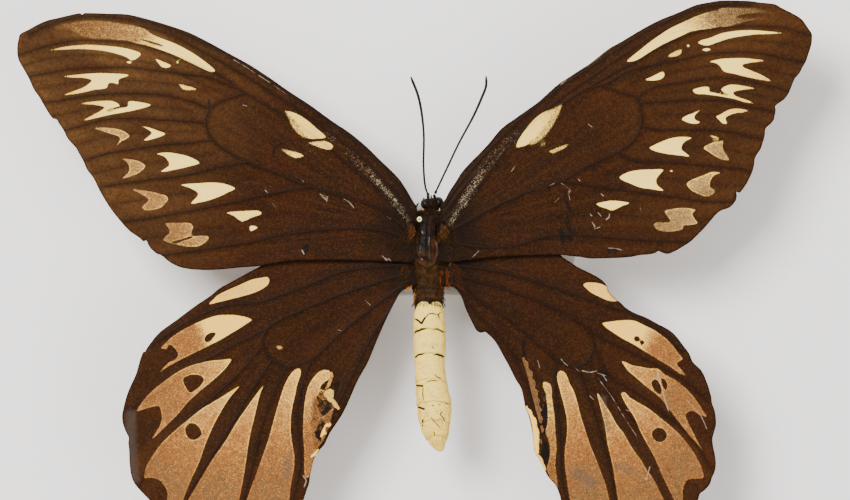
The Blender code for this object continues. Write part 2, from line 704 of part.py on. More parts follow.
def add_stand(home, cutters, thorax):
    """Flat base and the long pin that rises from it through the thorax."""
    bm = bmesh.new()
    bmesh.ops.create_cube(bm, size=1)
    bmesh.ops.scale(bm, vec=(BASE_LENGTH, BASE_WIDTH, BASE_THICKNESS), verts=bm.verts)
    bmesh.ops.translate(bm, vec=(0, 0, BASE_THICKNESS / 2), verts=bm.verts)
    upright = [edge for edge in bm.edges if abs(edge.verts[0].co.z - edge.verts[1].co.z) > BASE_THICKNESS / 2]
    bmesh.ops.bevel(bm, geom=upright, offset=BASE_CORNER, segments=BASE_CORNER_STEPS, profile=0.5, affect="EDGES")
    base = add_object("stand_base", mesh_from("stand_base", bm), home, ((0.7, 0.68, 0.64), 0.5))
    rounding = base.modifiers.new("edge", "BEVEL")
    rounding.width = BASE_EDGE
    rounding.segments = 2
    rounding.limit_method = "ANGLE"
    rounding.angle_limit = SHARP_ANGLE

    place = on_plan(PIN_COLUMN, PIN_ROW)
    room = PIN_RADIUS + GAP
    hole = cylinder("base_hole", room, PIN_FOOT - GAP, BASE_THICKNESS + MM, place, cutters)
    cut(base, hole)
    bore = cylinder("thorax_hole", room, BODY_HEIGHT - CUTTER_REACH, BODY_HEIGHT + CUTTER_REACH, place, cutters)
    cut(thorax, bore)

    neck = math.asin(PIN_RADIUS / PIN_HEAD_RADIUS)
    ball = [(PIN_HEAD_RADIUS * math.sin(angle), PIN_TOP - PIN_HEAD_RADIUS + PIN_HEAD_RADIUS * math.cos(angle))
            for angle in (neck + (math.pi - 2 * neck) * index / PIN_HEAD_STEPS for index in range(PIN_HEAD_STEPS + 1))]
    profile = [(0, PIN_TOP), *ball, (PIN_RADIUS, PIN_FOOT + PIN_POINT), (0, PIN_FOOT)]
    bm = bmesh.new()
    verts = [bm.verts.new((x, 0, z)) for x, z in profile]
    for a, b in zip(verts, verts[1:]):
        bm.edges.new((a, b))
    data = bpy.data.meshes.new("stand_pin")
    bm.to_mesh(data)
    bm.free()
    pin = add_object("stand_pin", data, home, ((0.25, 0.22, 0.18), 0.3, 0.9))
    pin.location = (place.x, place.y, 0)
    turning = pin.modifiers.new("turn", "SCREW")
    turning.steps = PIN_SIDES
    turning.render_steps = PIN_SIDES
    turning.use_merge_vertices = True
    turning.merge_threshold = 0.00001
    turning.use_smooth_shade = True


def main():
    """Build the whole model."""
    clear_scene()
    home = collection("birdwing_butterfly")
    cutters = collection("cutters")
    body = add_body(home)
    add_head(home, cutters)
    add_feelers(home)
    add_legs(home)
    add_wings(home)
    add_tegulae(home, cutters)
    add_stand(home, cutters, body["mesothorax"])


main()
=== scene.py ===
"""Looks of a spread female birdwing butterfly on its pin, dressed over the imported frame.

Metres, +Z up, +Y to the head, +X to the butterfly's own right. The wings' patterns are patches
and lines named by their places in the picture. They become distances over each wing, and the
scales take their colours from those distances.
"""

import logging
import math
from dataclasses import dataclass, field
from enum import Enum

import bpy
import numpy as np
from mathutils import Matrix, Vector
from mathutils.geometry import delaunay_2d_cdt
from mathutils.kdtree import KDTree

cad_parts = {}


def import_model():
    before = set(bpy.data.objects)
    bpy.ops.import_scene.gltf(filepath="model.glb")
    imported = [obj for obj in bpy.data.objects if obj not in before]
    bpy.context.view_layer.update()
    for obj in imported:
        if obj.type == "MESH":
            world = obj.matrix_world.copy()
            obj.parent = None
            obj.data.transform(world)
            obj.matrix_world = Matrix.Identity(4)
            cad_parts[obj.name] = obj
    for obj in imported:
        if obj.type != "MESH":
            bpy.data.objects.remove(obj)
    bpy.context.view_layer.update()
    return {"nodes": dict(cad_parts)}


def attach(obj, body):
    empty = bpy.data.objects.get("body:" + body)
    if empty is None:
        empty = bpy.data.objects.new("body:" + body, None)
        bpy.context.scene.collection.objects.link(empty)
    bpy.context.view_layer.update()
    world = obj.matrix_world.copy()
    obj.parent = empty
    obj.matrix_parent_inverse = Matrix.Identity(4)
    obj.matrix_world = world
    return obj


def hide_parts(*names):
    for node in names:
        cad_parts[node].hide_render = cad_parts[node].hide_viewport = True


log = logging.getLogger("birdwing")

# Places in the picture: columns to the right and rows downward
Places = tuple[tuple[float, float], ...]
Colour = tuple[float, float, float]

MM = 0.001
WINGSPAN = 250 * MM
SPAN_COLUMNS = 792
PIXEL = WINGSPAN / SPAN_COLUMNS
CENTRE_COLUMN = 428.0
CENTRE_ROW = 250.0
BODY_HEIGHT = 30 * MM
WING_LEVEL = BODY_HEIGHT + 4 * MM
WING_LAYER_DROP = 1.9 * MM
TIP_RISE = 3 * MM
TIP_CURVE = 1.5
FLAT_HALF_SPAN = 12 * MM
WING_REACH = 110 * MM
WING_SPLIT_ROW = 259.5
FAR = 3 * MM
EDGE_STEP = 0.65 * MM
BORDER_STEP = 0.42 * MM
VEIN_STEP = 0.9 * MM
BAND_STEP = 1 * MM
SCRATCH_STEP = 0.5 * MM
BAKE_MAP = "OFBake"


class Side(Enum):
    """Which of a pair, with its sign along X."""

    LEFT = -1
    RIGHT = 1


# The forewings' edges, veins and patches in the picture

FORE_LEFT_EDGE: Places = (
    (416.5, 207), (413, 201), (400, 180), (390, 169.5), (380, 160), (370, 150), (360, 141), (350, 133), (330, 119.5),
    (310, 105), (290, 92), (270, 78), (250, 65), (230, 54), (210, 43), (190, 33), (170, 26), (150, 20), (128, 14.8),
    (110, 14), (90, 13.5), (84.5, 13.7), (83, 15.4), (81.5, 13.8), (78, 14), (60, 18.2), (50, 20.5), (40, 24.5),
    (30, 30), (21, 35), (19.6, 40), (18.5, 46), (18.5, 55), (20, 61), (25, 70), (30, 79), (35, 90), (40, 97),
    (44, 104), (50, 114), (54, 119), (57, 119.5), (60, 124), (64, 130), (68, 138), (72, 143), (77, 148.5), (80, 154),
    (84, 161), (88, 170), (94, 178), (100, 190), (105, 199), (110, 207), (114, 212.5), (120, 220), (130, 231),
    (140, 238), (144, 241.5), (146.5, 240.5), (150, 247), (157, 253.5), (162, 255.5), (170, 262), (180, 267),
    (190, 269), (205, 270), (220, 269.5), (240, 267.5), (260, 266), (272, 264), (290, 261), (310, 260.3),
    (350, 260.5), (390, 261.5), (414, 262),
)
FORE_RIGHT_EDGE: Places = (
    (441, 206), (446, 198), (449, 192), (455, 183), (462, 172), (470, 163), (480, 153), (490, 142), (500, 130),
    (507, 124), (513, 120), (520, 115), (530, 108), (540, 100.5), (551, 90.5), (560, 83), (570, 76.5), (580, 70),
    (590, 63.5), (600, 55.5), (610, 48), (620, 42.5), (630, 36.5), (640, 30.5), (650, 25), (660, 20), (670, 16),
    (680, 12), (690, 7.5), (697, 5), (710, 2.5), (720, 1), (740, 1), (750, 1.5), (760, 3), (770, 4), (775, 5),
    (780, 8), (790, 13), (797, 17), (801, 20), (804, 24), (808, 30), (810.6, 34), (811, 38), (810.6, 44), (809, 50),
    (807, 56), (805, 62), (802, 67), (799, 73), (794, 79), (791, 86), (789, 91), (787, 95), (783, 100), (778, 103.5),
    (774.5, 106.5), (775, 111), (774, 116), (773, 120), (770, 124), (766, 127.5), (764.5, 130), (764, 136),
    (762, 143), (760, 149), (756, 155), (754.3, 159), (753.5, 165), (752, 171), (750, 176), (747, 182), (744, 187),
    (741, 191), (738.5, 193), (736, 191.8), (736.3, 196), (735, 201), (732, 205), (728, 208), (720, 211), (715, 215),
    (710, 221), (703, 229), (697, 235), (691, 241), (682, 247), (675, 251), (667, 254), (661, 252.2), (658, 251),
    (655, 253), (648, 254.5), (640, 255), (630, 257), (615, 258), (600, 258.5), (590, 258.5), (580, 257), (570, 256),
    (560.5, 255), (500, 257), (460, 261), (441, 262),
)
FORE_LEFT_VEINS: dict[str, Places] = {
    "costa": ((413, 207), (396, 182), (368, 151.5), (330, 122), (270, 80.5), (210, 45.5), (150, 22.5), (95, 16.5),
              (78, 17.6), (60, 22), (44, 27.6), (31, 34)),
    "subcosta": ((412, 213), (392, 190), (360, 156), (320, 125.5), (262, 86), (205, 53), (172, 35.5), (140, 26)),
    "radius": ((413, 221), (380, 190), (350, 166), (300, 126), (245, 93), (215, 73), (190, 61), (160, 51), (140, 45),
               (120, 42), (100, 41), (80, 40.5), (60, 43.5), (45, 47), (21, 55)),
    "cell_back": ((245, 93), (225, 100), (210, 109), (206, 123), (212, 140), (227, 151), (247, 162), (288, 178),
                  (310, 186.5), (345, 197), (378, 208), (411, 232)),
    "media_1": ((243, 92), (235, 88), (210, 78), (190, 75), (150, 70), (130, 67.5), (90, 68), (70, 69.5), (50, 73),
                (29, 77)),
    "media_2": ((210, 109), (190, 101), (170, 96), (150, 94), (110, 94), (75, 98), (60, 101), (42, 102.5)),
    "media_3": ((206, 123), (180, 121), (120, 118.5), (100, 121), (80, 126.5), (62, 131)),
    "cubitus_1": ((212, 140), (190, 143), (170, 144), (130, 150), (110, 153), (86, 160)),
    "cubitus_2": ((247, 162), (220, 167), (200, 172), (180, 176), (140, 181), (102, 187)),
    "cubitus_3": ((310, 186.5), (285, 191), (250, 198), (230, 203), (190, 211), (150, 218), (122, 222)),
    "anal": ((412, 240), (385, 231), (350, 228), (280, 235), (250, 242), (200, 250), (163, 255)),
}
FORE_RIGHT_VEINS: dict[str, Places] = {
    "costa": ((443, 206), (460, 183.5), (482, 157.5), (515, 124), (555, 91), (592, 66.5), (632, 40), (665, 22),
              (700, 8), (750, 4.2)),
    "subcosta": ((444, 213), (463, 188), (490, 160), (522, 130), (560, 99), (600, 71), (633, 49), (660, 32.5),
                 (690, 19)),
    "radius": ((444, 221), (475, 190), (505, 151), (530, 124), (580, 93), (610, 75), (635, 62), (650, 53), (675, 40),
               (690, 34), (710, 29.5), (745, 26.5), (765, 27), (785, 29), (807, 35)),
    "cell_back": ((600, 85), (620, 93), (636, 98), (641, 112), (641, 124), (634, 140), (618, 152), (590, 165),
                  (560, 181), (540, 187.5), (500, 204), (470, 220), (445, 233)),
    "media_1": ((590, 88), (610, 82), (625, 73), (650, 66), (680, 60), (700, 55.5), (720, 53), (740, 52.5), (755, 53),
                (785, 59), (804, 63)),
    "media_2": ((636, 98), (650, 89), (665, 85), (680, 83), (697, 80), (715, 78), (740, 80), (760, 84), (790, 92)),
    "media_3": ((641, 103), (660, 102), (680, 101), (715, 100.5), (730, 102), (750, 107), (774, 112)),
    "cubitus_1": ((641, 127), (660, 130), (680, 129.5), (720, 131), (735, 133), (750, 137), (764, 140)),
    "cubitus_2": ((618, 152), (625, 158), (650, 162), (680, 163), (700, 165), (720, 167), (740, 169), (753, 172)),
    "cubitus_3": ((560, 181), (605, 188), (620, 190), (680, 198), (700, 201), (720, 202), (735, 201)),
    "anal": ((445, 240), (470, 246), (500, 247), (520, 244), (540, 238), (560, 235), (590, 236), (640, 240),
             (690, 242)),
}
FORE_PLEATS = (
    ("radius", "media_1"), ("media_1", "media_2"), ("media_2", "media_3"), ("media_3", "cubitus_1"),
    ("cubitus_1", "cubitus_2"), ("cubitus_2", "cubitus_3"), ("cubitus_3", "anal"),
)


@dataclass(frozen=True)
class Patch:
    """A patch of pale scales: its outline, and its tone and dustiness from one place to another.

    Tone runs from 0, cream, by 0.25, warm yellow, and 0.6, tan, to 1, dusky tan. Dust runs from
    0, whole, to 1, so thin that most of the ground shows.
    """

    outline: Places
    tone: tuple[float, float] = (0.0, 0.0)
    dust: tuple[float, float] = (0.0, 0.0)
    run: Places = ((0.0, 0.0), (1.0, 0.0))


@dataclass(frozen=True)
class Scratch:
    """A line where scales are rubbed off or lifted, or a painted glint, with its half width in pixels."""

    line: Places
    half_width: float = 0.5


FORE_LEFT_PATCHES = (
    Patch(((138, 30), (160, 38), (180, 46), (200, 58), (215, 71), (213, 72.3), (190, 62.5), (170, 53.5), (150, 46.5),
           (130, 40.5), (133, 35)), (0.05, 0.6), (0.0, 0.45), ((165, 44), (138, 35))),
    Patch(((148, 31), (138, 27), (120, 23.5), (100, 21), (80, 21.5), (60, 25), (55, 28), (70, 30.5), (80, 35.5),
           (89, 38.6),
           (102, 39.4), (116, 40), (131, 41.6), (147, 44.6), (156, 42), (152, 36)), (0.5, 0.72), (0.46, 0.92),
          ((145, 35), (62, 27))),
    Patch(((52, 50.6), (62, 48), (75, 46), (90, 45.3), (110, 46.5), (130, 49.5), (141, 54), (139, 57), (132.5, 60.5),
           (126, 57), (115, 53.4), (100, 50.6), (80, 49.4), (65, 50)), (0.0, 0.4), (0.0, 0.15), ((120, 50), (65, 49))),
    Patch(((126.8, 62.4), (129.5, 61.4), (132, 62.2), (130, 63.8))),
    Patch(((156, 59.5), (163, 61.8), (171, 66), (168, 68), (162, 67), (159, 63.5))),
    Patch(((177, 61.8), (178.6, 61.6), (178.4, 63.6), (177.2, 63.4))),
    Patch(((179.5, 84.5), (186, 85.6), (196.5, 89.3), (190, 90.4), (183, 89.2)), (0.1, 0.2), (0.1, 0.3)),
    Patch(((65, 77), (80, 74.8), (95, 73.6), (110, 73.6), (129, 75.5), (119, 80), (118.5, 84), (113, 83), (109, 83.6),
           (107, 88), (95, 90), (80, 93.5), (65, 95.3), (76, 91), (86, 86.6), (92, 80.5), (84, 78.2), (74, 78)),
          (0.0, 0.35), (0.0, 0.1), ((95, 82), (70, 84))),
    Patch(((82, 104), (92, 102), (112, 101.3), (118, 103.5), (120, 106), (113, 108), (107, 110.4), (110, 112),
           (119, 108.6), (128, 106.6), (129, 102), (140, 102.3), (151, 105.2), (138, 109.7), (112, 114.7), (85, 120.3),
           (94, 115), (102, 110.4), (105, 107.6), (95, 105)), (0.0, 0.3), (0.0, 0.1), ((115, 108), (85, 112))),
    Patch(((95.5, 128.5), (103, 127.8), (122, 130.5), (129.8, 136), (127, 139), (122, 141.5), (117.5, 145.5),
           (120.5, 138), (108, 133)), (0.5, 0.62), (0.12, 0.25), ((125, 136), (98, 130))),
    Patch(((142.5, 126.5), (150, 128), (158, 130.8), (165.5, 134), (153, 139.2), (144.5, 140.5), (152, 133.2),
           (149, 130))),
    Patch(((123, 159), (138, 161), (145.5, 166), (143, 170), (137, 174), (123, 178.5), (128, 173), (130, 169),
           (127, 162)), (0.52, 0.62), (0.12, 0.25), ((142, 167), (123, 168))),
    Patch(((157.5, 154), (168, 152.6), (180, 154.4), (190, 157), (199.5, 163), (190, 166.3), (180, 168.7),
           (161.5, 171.5), (169.5, 165), (165, 157))),
    Patch(((132.5, 189.5), (150, 191.5), (160, 194), (166.5, 196), (168.3, 199), (165, 204), (160, 208), (152, 210),
           (145, 210), (142.5, 207), (149, 200), (140, 193.5)), (0.55, 0.68), (0.15, 0.3), ((165, 200), (136, 196))),
    Patch(((181.5, 185), (200, 183.2), (212, 182.6), (225, 184), (235, 188.5), (228, 192.4), (220, 196.3), (210, 200),
           (200, 202.4), (191.5, 203.5), (198.5, 194), (190, 188))),
    Patch(((165.5, 223.6), (178, 223), (191, 223.6), (193.3, 227), (192, 231), (192, 236), (200, 235.8), (208.3, 236.5),
           (208.5, 239), (204, 243.5), (198, 246.3), (188, 246.5), (180, 245.2), (168, 242.4), (163.5, 240),
           (166.5, 236), (170, 232), (168, 227)), (0.55, 0.75), (0.2, 0.35), ((192, 235), (165, 233))),
    Patch(((227, 212.7), (236, 211.5), (245, 211), (259, 211), (261.5, 213.5), (252, 217.5), (242, 221.4), (238, 219),
           (234, 216)), (0.0, 0.1), (0.0, 0.1)),
    Patch(((250, 226.3), (253.5, 225.8), (257.3, 227.5), (254.6, 229.6), (250.6, 231))),
    Patch(((286.6, 114), (290, 113.6), (296, 119), (301, 125), (306, 131), (310, 137.4), (303, 137.4), (297, 133),
           (292, 126.6), (289, 120)), (0.12, 0.15), (0.7, 0.72)),
    Patch(((285, 111), (293, 112.4), (300, 115.6), (308, 121), (316, 128), (325.5, 137), (318, 138.8), (308, 138.2),
           (301, 133.4), (296, 126.6), (291, 119), (287, 114)), (0.12, 0.2), (0.62, 0.0), ((292, 128), (304, 121))),
    Patch(((309, 142.6), (315, 141.8), (322, 140.8), (328, 142), (333, 146), (330.6, 149.7), (323, 148.6),
           (316, 146.4)), (0.12, 0.25), (0.5, 0.2), ((311, 144), (328, 147))),
    Patch(((281.6, 149.2), (290, 150.8), (300, 153.4), (303.4, 156), (296, 158), (288, 154.6)), (0.05, 0.1), (0.7, 0.3),
          ((281, 150), (297, 156))),
)
FORE_LEFT_DARK: tuple[Places, ...] = (
    ((140, 38.8), (149, 40.8), (158, 43.6), (165, 46.4), (157, 45.4), (148, 42.6)),
    ((172, 242.4), (182, 239.2), (192, 236.2), (192.5, 237.6), (184, 240.6), (176, 243.6)),
    ((270, 157), (271, 150), (273, 145), (280, 141), (290, 140), (302, 140.3), (316, 139.2), (328, 138.6),
     (328, 140.2), (314, 141), (300, 142), (288, 141.6), (281, 143.2), (276, 147), (275, 155)),
)
# Rubbed scales; the first two lines, by the wing's root, are painted glints.
FORE_LEFT_SCRATCHES_AND_GLINTS = (
    Scratch(((382.4, 255.8), (388.6, 262.6)), 0.4), Scratch(((388, 258), (391, 261)), 0.4),
    Scratch(((344, 199), (350, 203), (354, 208)), 0.4),
    Scratch(((320, 194), (327, 201)), 0.4), Scratch(((302, 250), (304, 254)), 0.6),
    Scratch(((386, 216), (391, 219)), 0.25), Scratch(((265, 190), (268, 193)), 0.4),
    Scratch(((234, 60), (246, 67), (255, 73)), 0.34), Scratch(((259, 75.6), (270, 82.6)), 0.3),
    Scratch(((274, 85.6), (286, 94)), 0.26),
    Scratch(((272, 203), (276, 207)), 0.3), Scratch(((302, 180), (304, 182)), 0.3),
    Scratch(((243, 105), (247, 106)), 0.4), Scratch(((322, 195), (328, 197)), 0.3),
)

FORE_RIGHT_PATCHES = (
    Patch(((627, 61.5), (640, 50), (650, 42), (660, 35), (670, 28.5), (680, 23.5), (690, 19), (700, 15), (710, 12),
           (720, 10), (732, 9.5), (734, 16), (735, 24), (727, 27), (720, 27), (710, 29), (700, 30), (690, 32),
           (680, 36.5), (670, 41), (660, 46), (650, 52), (636, 60.5)), (0.04, 0.6), (0.0, 0.6), ((678, 34), (718, 19))),
    Patch(((718, 10), (740, 8), (755, 8.5), (770, 12), (778, 16), (765, 19), (750, 21), (735, 25), (722, 27),
           (716, 20)), (0.6, 0.76), (0.5, 0.92), ((718, 18), (778, 14))),
    Patch(((698, 43), (700, 41), (710, 38), (720, 34), (735, 31.3), (750, 30.6), (765, 31.6), (780.5, 33.5),
           (768, 34.4), (755, 34.8), (740, 36.7), (727, 39.2), (715, 43.3), (708, 45.6), (702, 45))),
    Patch(((702, 50), (706, 48.3), (710.3, 49.7), (706, 51.4))),
    Patch(((668, 56.5), (672, 53), (681.3, 50), (680.3, 54), (673, 57.2)), (0.1, 0.2), (0.2, 0.3)),
    Patch(((645.5, 79.8), (652, 76.6), (663, 72), (664.3, 75), (662, 78.4), (655, 80.6))),
    Patch(((686.6, 45.2), (688.2, 44.6), (689.2, 46.8), (687.6, 47.2))),
    Patch(((709.5, 62), (718, 59.6), (730, 58.6), (745, 58.6), (755, 59.6), (763.5, 61), (755, 62.4), (748, 63.3),
           (742, 65.2), (742.4, 67), (750, 70.6), (760, 74.8), (768, 79.6), (770, 81.4), (762, 80.4), (745, 77),
           (735, 74.4), (723, 71.3), (719.6, 66.4), (716, 63.6)), (0.0, 0.3), (0.0, 0.15), ((735, 66), (768, 80))),
    Patch(((692.5, 90.3), (696, 88.6), (704, 87), (708.6, 87.7), (709, 91.4), (716, 93.4), (725, 95.6), (728, 95.2),
           (723.4, 92.4), (720.8, 90), (723, 87.4), (728, 85.3), (735, 85), (745, 86.5), (753.5, 88.6), (746, 89.6),
           (738, 90.8), (733, 92.6), (733.6, 95), (738, 97.6), (745, 99.8), (752.4, 103.4), (744, 102.4), (735, 99.6),
           (720, 96.6), (705, 94.5), (695, 93.5)), (0.0, 0.3), (0.0, 0.15), ((720, 92), (752, 100))),
    Patch(((681.5, 119.4), (686, 115.8), (692, 113.6), (699.3, 110.5), (696, 113.8), (694, 117), (695, 120),
           (699.4, 122.4), (697, 123.8), (690, 123.4), (685, 121.6))),
    Patch(((716, 116.8), (720, 114.6), (725, 111.7), (730, 109.6), (738, 109), (747.4, 110.9), (742, 112.6),
           (735, 113.4), (729, 115.4), (725, 118.4), (726.4, 123.6), (722.6, 123.8), (718.6, 120)), (0.1, 0.35),
          (0.05, 0.2), ((722, 116), (746, 111))),
    Patch(((649.5, 148), (655, 144.6), (662, 141.5), (670, 138.6), (680, 137), (691, 138), (685, 141.4), (682, 145),
           (681.4, 149.6), (685, 152.8), (689, 156.4), (680, 155.6), (665, 153.6), (655, 151.2))),
    Patch(((703.5, 148), (710, 143.8), (717, 142), (722.4, 141.2), (722, 147), (724, 152), (728.5, 160), (722, 159.6),
           (715, 156.5), (709, 152.4)), (0.42, 0.6), (0.1, 0.25), ((708, 149), (724, 155))),
    Patch(((709, 135.4), (713, 136), (718.4, 138.2), (713, 138)), (0.3, 0.3), (0.3, 0.3)),
    Patch(((619.5, 177.4), (627, 172.6), (635, 170.6), (650, 169.6), (663, 170), (659, 175), (656, 180), (657, 185),
           (663, 190.5), (650, 189), (640, 187.5), (630, 183.5), (622, 180))),
    Patch(((686.5, 184), (690, 180.6), (700, 176.6), (705, 174.5), (712, 172), (719.4, 173), (714, 175.4), (710, 181),
           (710, 187.5), (714.4, 190), (713, 193.6), (706, 196.5), (697, 193.6), (690, 189.5)), (0.4, 0.62),
          (0.1, 0.35), ((700, 178), (706, 194))),
    Patch(((669.6, 171), (671, 170), (672.6, 171.2), (671, 172.2)), (0.3, 0.3)),
    Patch(((596.5, 204), (605, 201.6), (612, 200.7), (622, 201.5), (629, 203), (622, 206), (612, 210.4), (606, 208.4),
           (600, 206.5))),
    Patch(((664.5, 211), (669, 209.6), (680, 208), (690, 208.6), (695, 210), (692, 214), (694.4, 219), (697, 223),
           (690, 225), (682.6, 225.6), (682, 229), (675, 231), (665, 231.6), (657, 229.6), (653.5, 225), (656, 222.4),
           (664, 222.6), (670, 221.6), (668, 217), (665, 213.5)), (0.5, 0.66), (0.15, 0.3), ((690, 214), (660, 228))),
    Patch(((516.5, 147), (518, 141), (521, 136), (525, 130), (530, 123.6), (536, 117.4), (543, 112.4), (551, 109.4),
           (562.4, 103.8), (558, 109), (554.4, 113.4), (552, 118.6), (548, 125.4), (543.4, 131), (538, 137.4),
           (532, 142),
           (524, 146)), (0.12, 0.2), (0.0, 0.66),
          ((537, 124), (552, 128))),
    Patch(((526, 142), (533, 137), (539, 131), (544, 124), (549, 116), (554, 109), (562, 104.6), (559, 114),
           (555, 122), (550.4, 129.6), (545.4, 136), (539, 141.6), (532, 145)), (0.1, 0.15), (0.66, 0.72)),
    Patch(((549, 151.6), (554, 148.8), (561, 146.2), (568.4, 144.4), (565.4, 147.6), (559, 150.8), (553, 153.2)),
          (0.12, 0.2), (0.5, 0.5)),
    Patch(((540.6, 146), (542, 143), (545.6, 141.6), (545, 144)), (0.3, 0.3), (0.8, 0.8)),
)
FORE_RIGHT_DARK: tuple[Places, ...] = (
    ((736, 17.5), (745, 14.6), (760, 13.8), (778, 15), (770, 17.6), (755, 18.4)),
)
# Rubbed scales; the first line, by the wing's root, is a painted glint.
FORE_RIGHT_SCRATCHES_AND_GLINTS = (
    Scratch(((467, 262.4), (472.6, 257), (479, 250.8)), 0.35), Scratch(((536, 190), (546, 187), (555, 183)), 0.25),
    Scratch(((561, 183), (568, 188), (571, 191)), 0.25), Scratch(((568, 192), (570, 200)), 0.25),
    Scratch(((598, 212.6), (601, 216)), 0.5), Scratch(((606, 219.6), (609, 217), (609.4, 214)), 0.7),
    Scratch(((590, 214), (592, 216)), 0.4), Scratch(((592, 222), (594.6, 226)), 0.5),
    Scratch(((601, 194), (603.4, 196)), 0.5),
    Scratch(((604, 203), (606, 206)), 0.5), Scratch(((555, 202), (559, 198)), 0.3),
    Scratch(((578, 179), (580, 181)), 0.4),
    Scratch(((594, 229), (600, 227)), 0.4), Scratch(((608, 248), (616, 248.6), (621, 250)), 0.45),
    Scratch(((511, 172), (515, 166)), 0.3), Scratch(((588, 124), (592, 127)), 0.3),
    Scratch(((640, 208), (641, 212)), 0.3),
    Scratch(((613, 46), (600, 56), (590, 64), (575, 73), (560, 85)), 0.5), Scratch(((673, 33), (685, 30)), 0.6),
)
FORE_LEFT_SOWN = (
    Scratch(((347, 152), (356, 160), (366, 170), (378, 182)), 3.4), Scratch(((378, 182), (391, 197), (402, 211)), 2.2),
    Scratch(((396, 204), (409, 221)), 1.2), Scratch(((308, 146), (314, 150)), 2.0),
    Scratch(((326, 132), (338, 142)), 2.5),
)
FORE_RIGHT_SOWN = (
    Scratch(((519, 134), (508, 144), (497, 154), (487, 166), (478, 178)), 4.0),
    Scratch(((480, 176), (470, 191), (463, 203)), 3.4),
    Scratch(((466, 198), (458, 210), (449, 225)), 1.7), Scratch(((540, 144), (547, 145)), 1.0),
)
FORE_LEFT_SOOT: tuple[Places, ...] = (
    ((208, 98.5), (210.4, 99.5), (211.4, 104), (210.6, 108), (209, 110), (208, 106)),
    ((273, 158), (272.6, 151), (276, 145.6), (283, 141.8), (292, 139.4), (302, 139), (316, 139.4), (316, 140.6),
     (302, 140.6), (291, 141.2), (284, 143.6), (278, 147.4), (275, 152), (275.6, 157.6)),
    ((303, 246), (308, 244), (309, 250), (304, 256), (301, 255)),
)
FORE_RIGHT_SOOT: tuple[Places, ...] = (
    ((634, 162), (638, 160.6), (638.6, 163), (635, 164)),
    ((563.6, 192), (566.4, 191), (566, 199), (570.6, 206), (571.6, 213), (568.4, 211), (565.6, 205), (563.4, 199)),
    ((566, 216), (570.6, 219), (571, 226), (575, 231), (573, 235), (568, 231), (565, 225)),
    ((559.6, 228), (563, 229), (565.6, 234), (573, 236.6), (572, 242), (566, 240), (562.6, 246), (560.4, 240)),
    ((606, 248.6), (613, 247), (620, 250.6), (613, 254), (607.6, 253.4)),
)
FORE_LEFT_ROOT: Places = ((419, 258), (419.5, 235), (418.5, 222), (417.5, 212))
FORE_RIGHT_ROOT: Places = ((437, 258), (436.5, 235), (438, 222), (439.8, 212))


# The hindwings' edges, veins and patches in the picture

HIND_LEFT_EDGE: Places = (
    (412, 240), (380, 240), (330, 233), (285, 246), (262, 265), (250, 271.5), (240, 277), (230, 282.5), (220, 288),
    (210, 296), (195, 306), (185, 313.5), (175, 321), (160, 332), (152, 341), (146, 349.5), (144.8, 352),
    (143.5, 351.6), (141, 357), (138, 367), (136, 374), (131, 385), (128, 392), (126, 398), (123.5, 408), (122, 416),
    (123, 424), (126, 432), (128.8, 438), (128.2, 442), (129, 450), (129.4, 462), (131, 475), (134, 483), (140, 490.5),
    (150, 501), (160, 512), (172, 525), (184, 533), (190, 538), (194, 537.4), (204, 544), (220, 549.6), (232, 551.6),
    (237, 550), (248, 553), (262, 551.6), (275, 547), (282, 543), (286, 538), (292, 530), (297, 520), (301, 509),
    (303.5, 500), (306, 492), (309, 483), (310, 475), (312, 466), (314, 459), (319, 451), (324, 445), (330, 433),
    (340, 418), (346, 407), (350, 398), (358, 380), (368, 362), (375, 345), (385, 322), (395, 302), (402, 291),
    (412, 287),
)
HIND_RIGHT_EDGE: Places = (
    (446, 240), (480, 241), (520, 234), (553, 245), (560.5, 255), (565, 258.5), (572, 263), (577, 266.5), (590, 273),
    (600, 278.5), (605, 283), (607.5, 287), (608, 289), (610, 293), (617, 300), (621, 303), (625, 307), (630, 310.5),
    (637, 314), (645, 317), (650, 319.5), (658, 324), (666, 328), (672, 332), (677, 337), (683, 345), (689, 353),
    (693, 362), (698, 367), (701, 370), (704, 375), (706, 380), (708, 385), (710, 392), (711.5, 398), (712, 403),
    (714.5, 410), (716, 419), (716, 425), (714, 433), (712.5, 439), (713, 445), (715, 455), (716, 464), (715, 471),
    (712, 478), (710, 484), (706, 489), (700, 494), (698, 500), (693, 508), (687, 517), (680, 523), (676, 524.5),
    (668, 532), (656, 539), (642, 545), (634, 545.6), (620, 550), (608, 551.6), (598, 548.6), (590, 546), (584, 545),
    (575, 533), (568, 520), (563, 508), (560, 496), (556, 486), (549, 478), (546, 473), (541, 462), (535, 453),
    (534, 445), (532, 430), (529, 417), (525, 406), (524, 400), (521, 388), (516, 380), (509, 366), (504, 357),
    (498, 346), (494, 340), (489, 335), (485, 332), (481, 333), (477, 331), (473, 324), (469, 316), (465, 307),
    (462, 298), (457, 290), (452, 287), (446, 287),
)
HIND_LEFT_VEINS: dict[str, Places] = {
    "costa": ((409, 264), (345, 271), (300, 288), (255, 303), (232, 304.5), (215, 309), (185, 323), (153, 344)),
    "cell_front": ((408, 273), (350, 291), (300, 311), (270, 326), (262, 340), (268, 356), (286, 367), (312, 360)),
    "cell_back": ((312, 360), (350, 325), (407, 282)),
    "media_1": ((269, 328), (250, 337), (225, 350), (195, 366), (165, 388), (146, 399), (128, 410)),
    "media_2": ((263, 346), (236, 376), (212, 398), (185, 422), (165, 444), (147, 470), (138, 487)),
    "media_3": ((272, 359), (250, 393), (228, 430), (208, 462), (190, 492), (178, 525)),
    "cubitus_1": ((286, 367), (274, 392), (262, 425), (254, 460), (246, 490), (236, 548)),
    "cubitus_2": ((311, 360), (302, 385), (297, 415), (299, 440), (300, 465), (294, 495), (285, 535)),
    "anal": ((405, 290), (372, 336), (350, 380), (333, 415), (320, 445)),
}
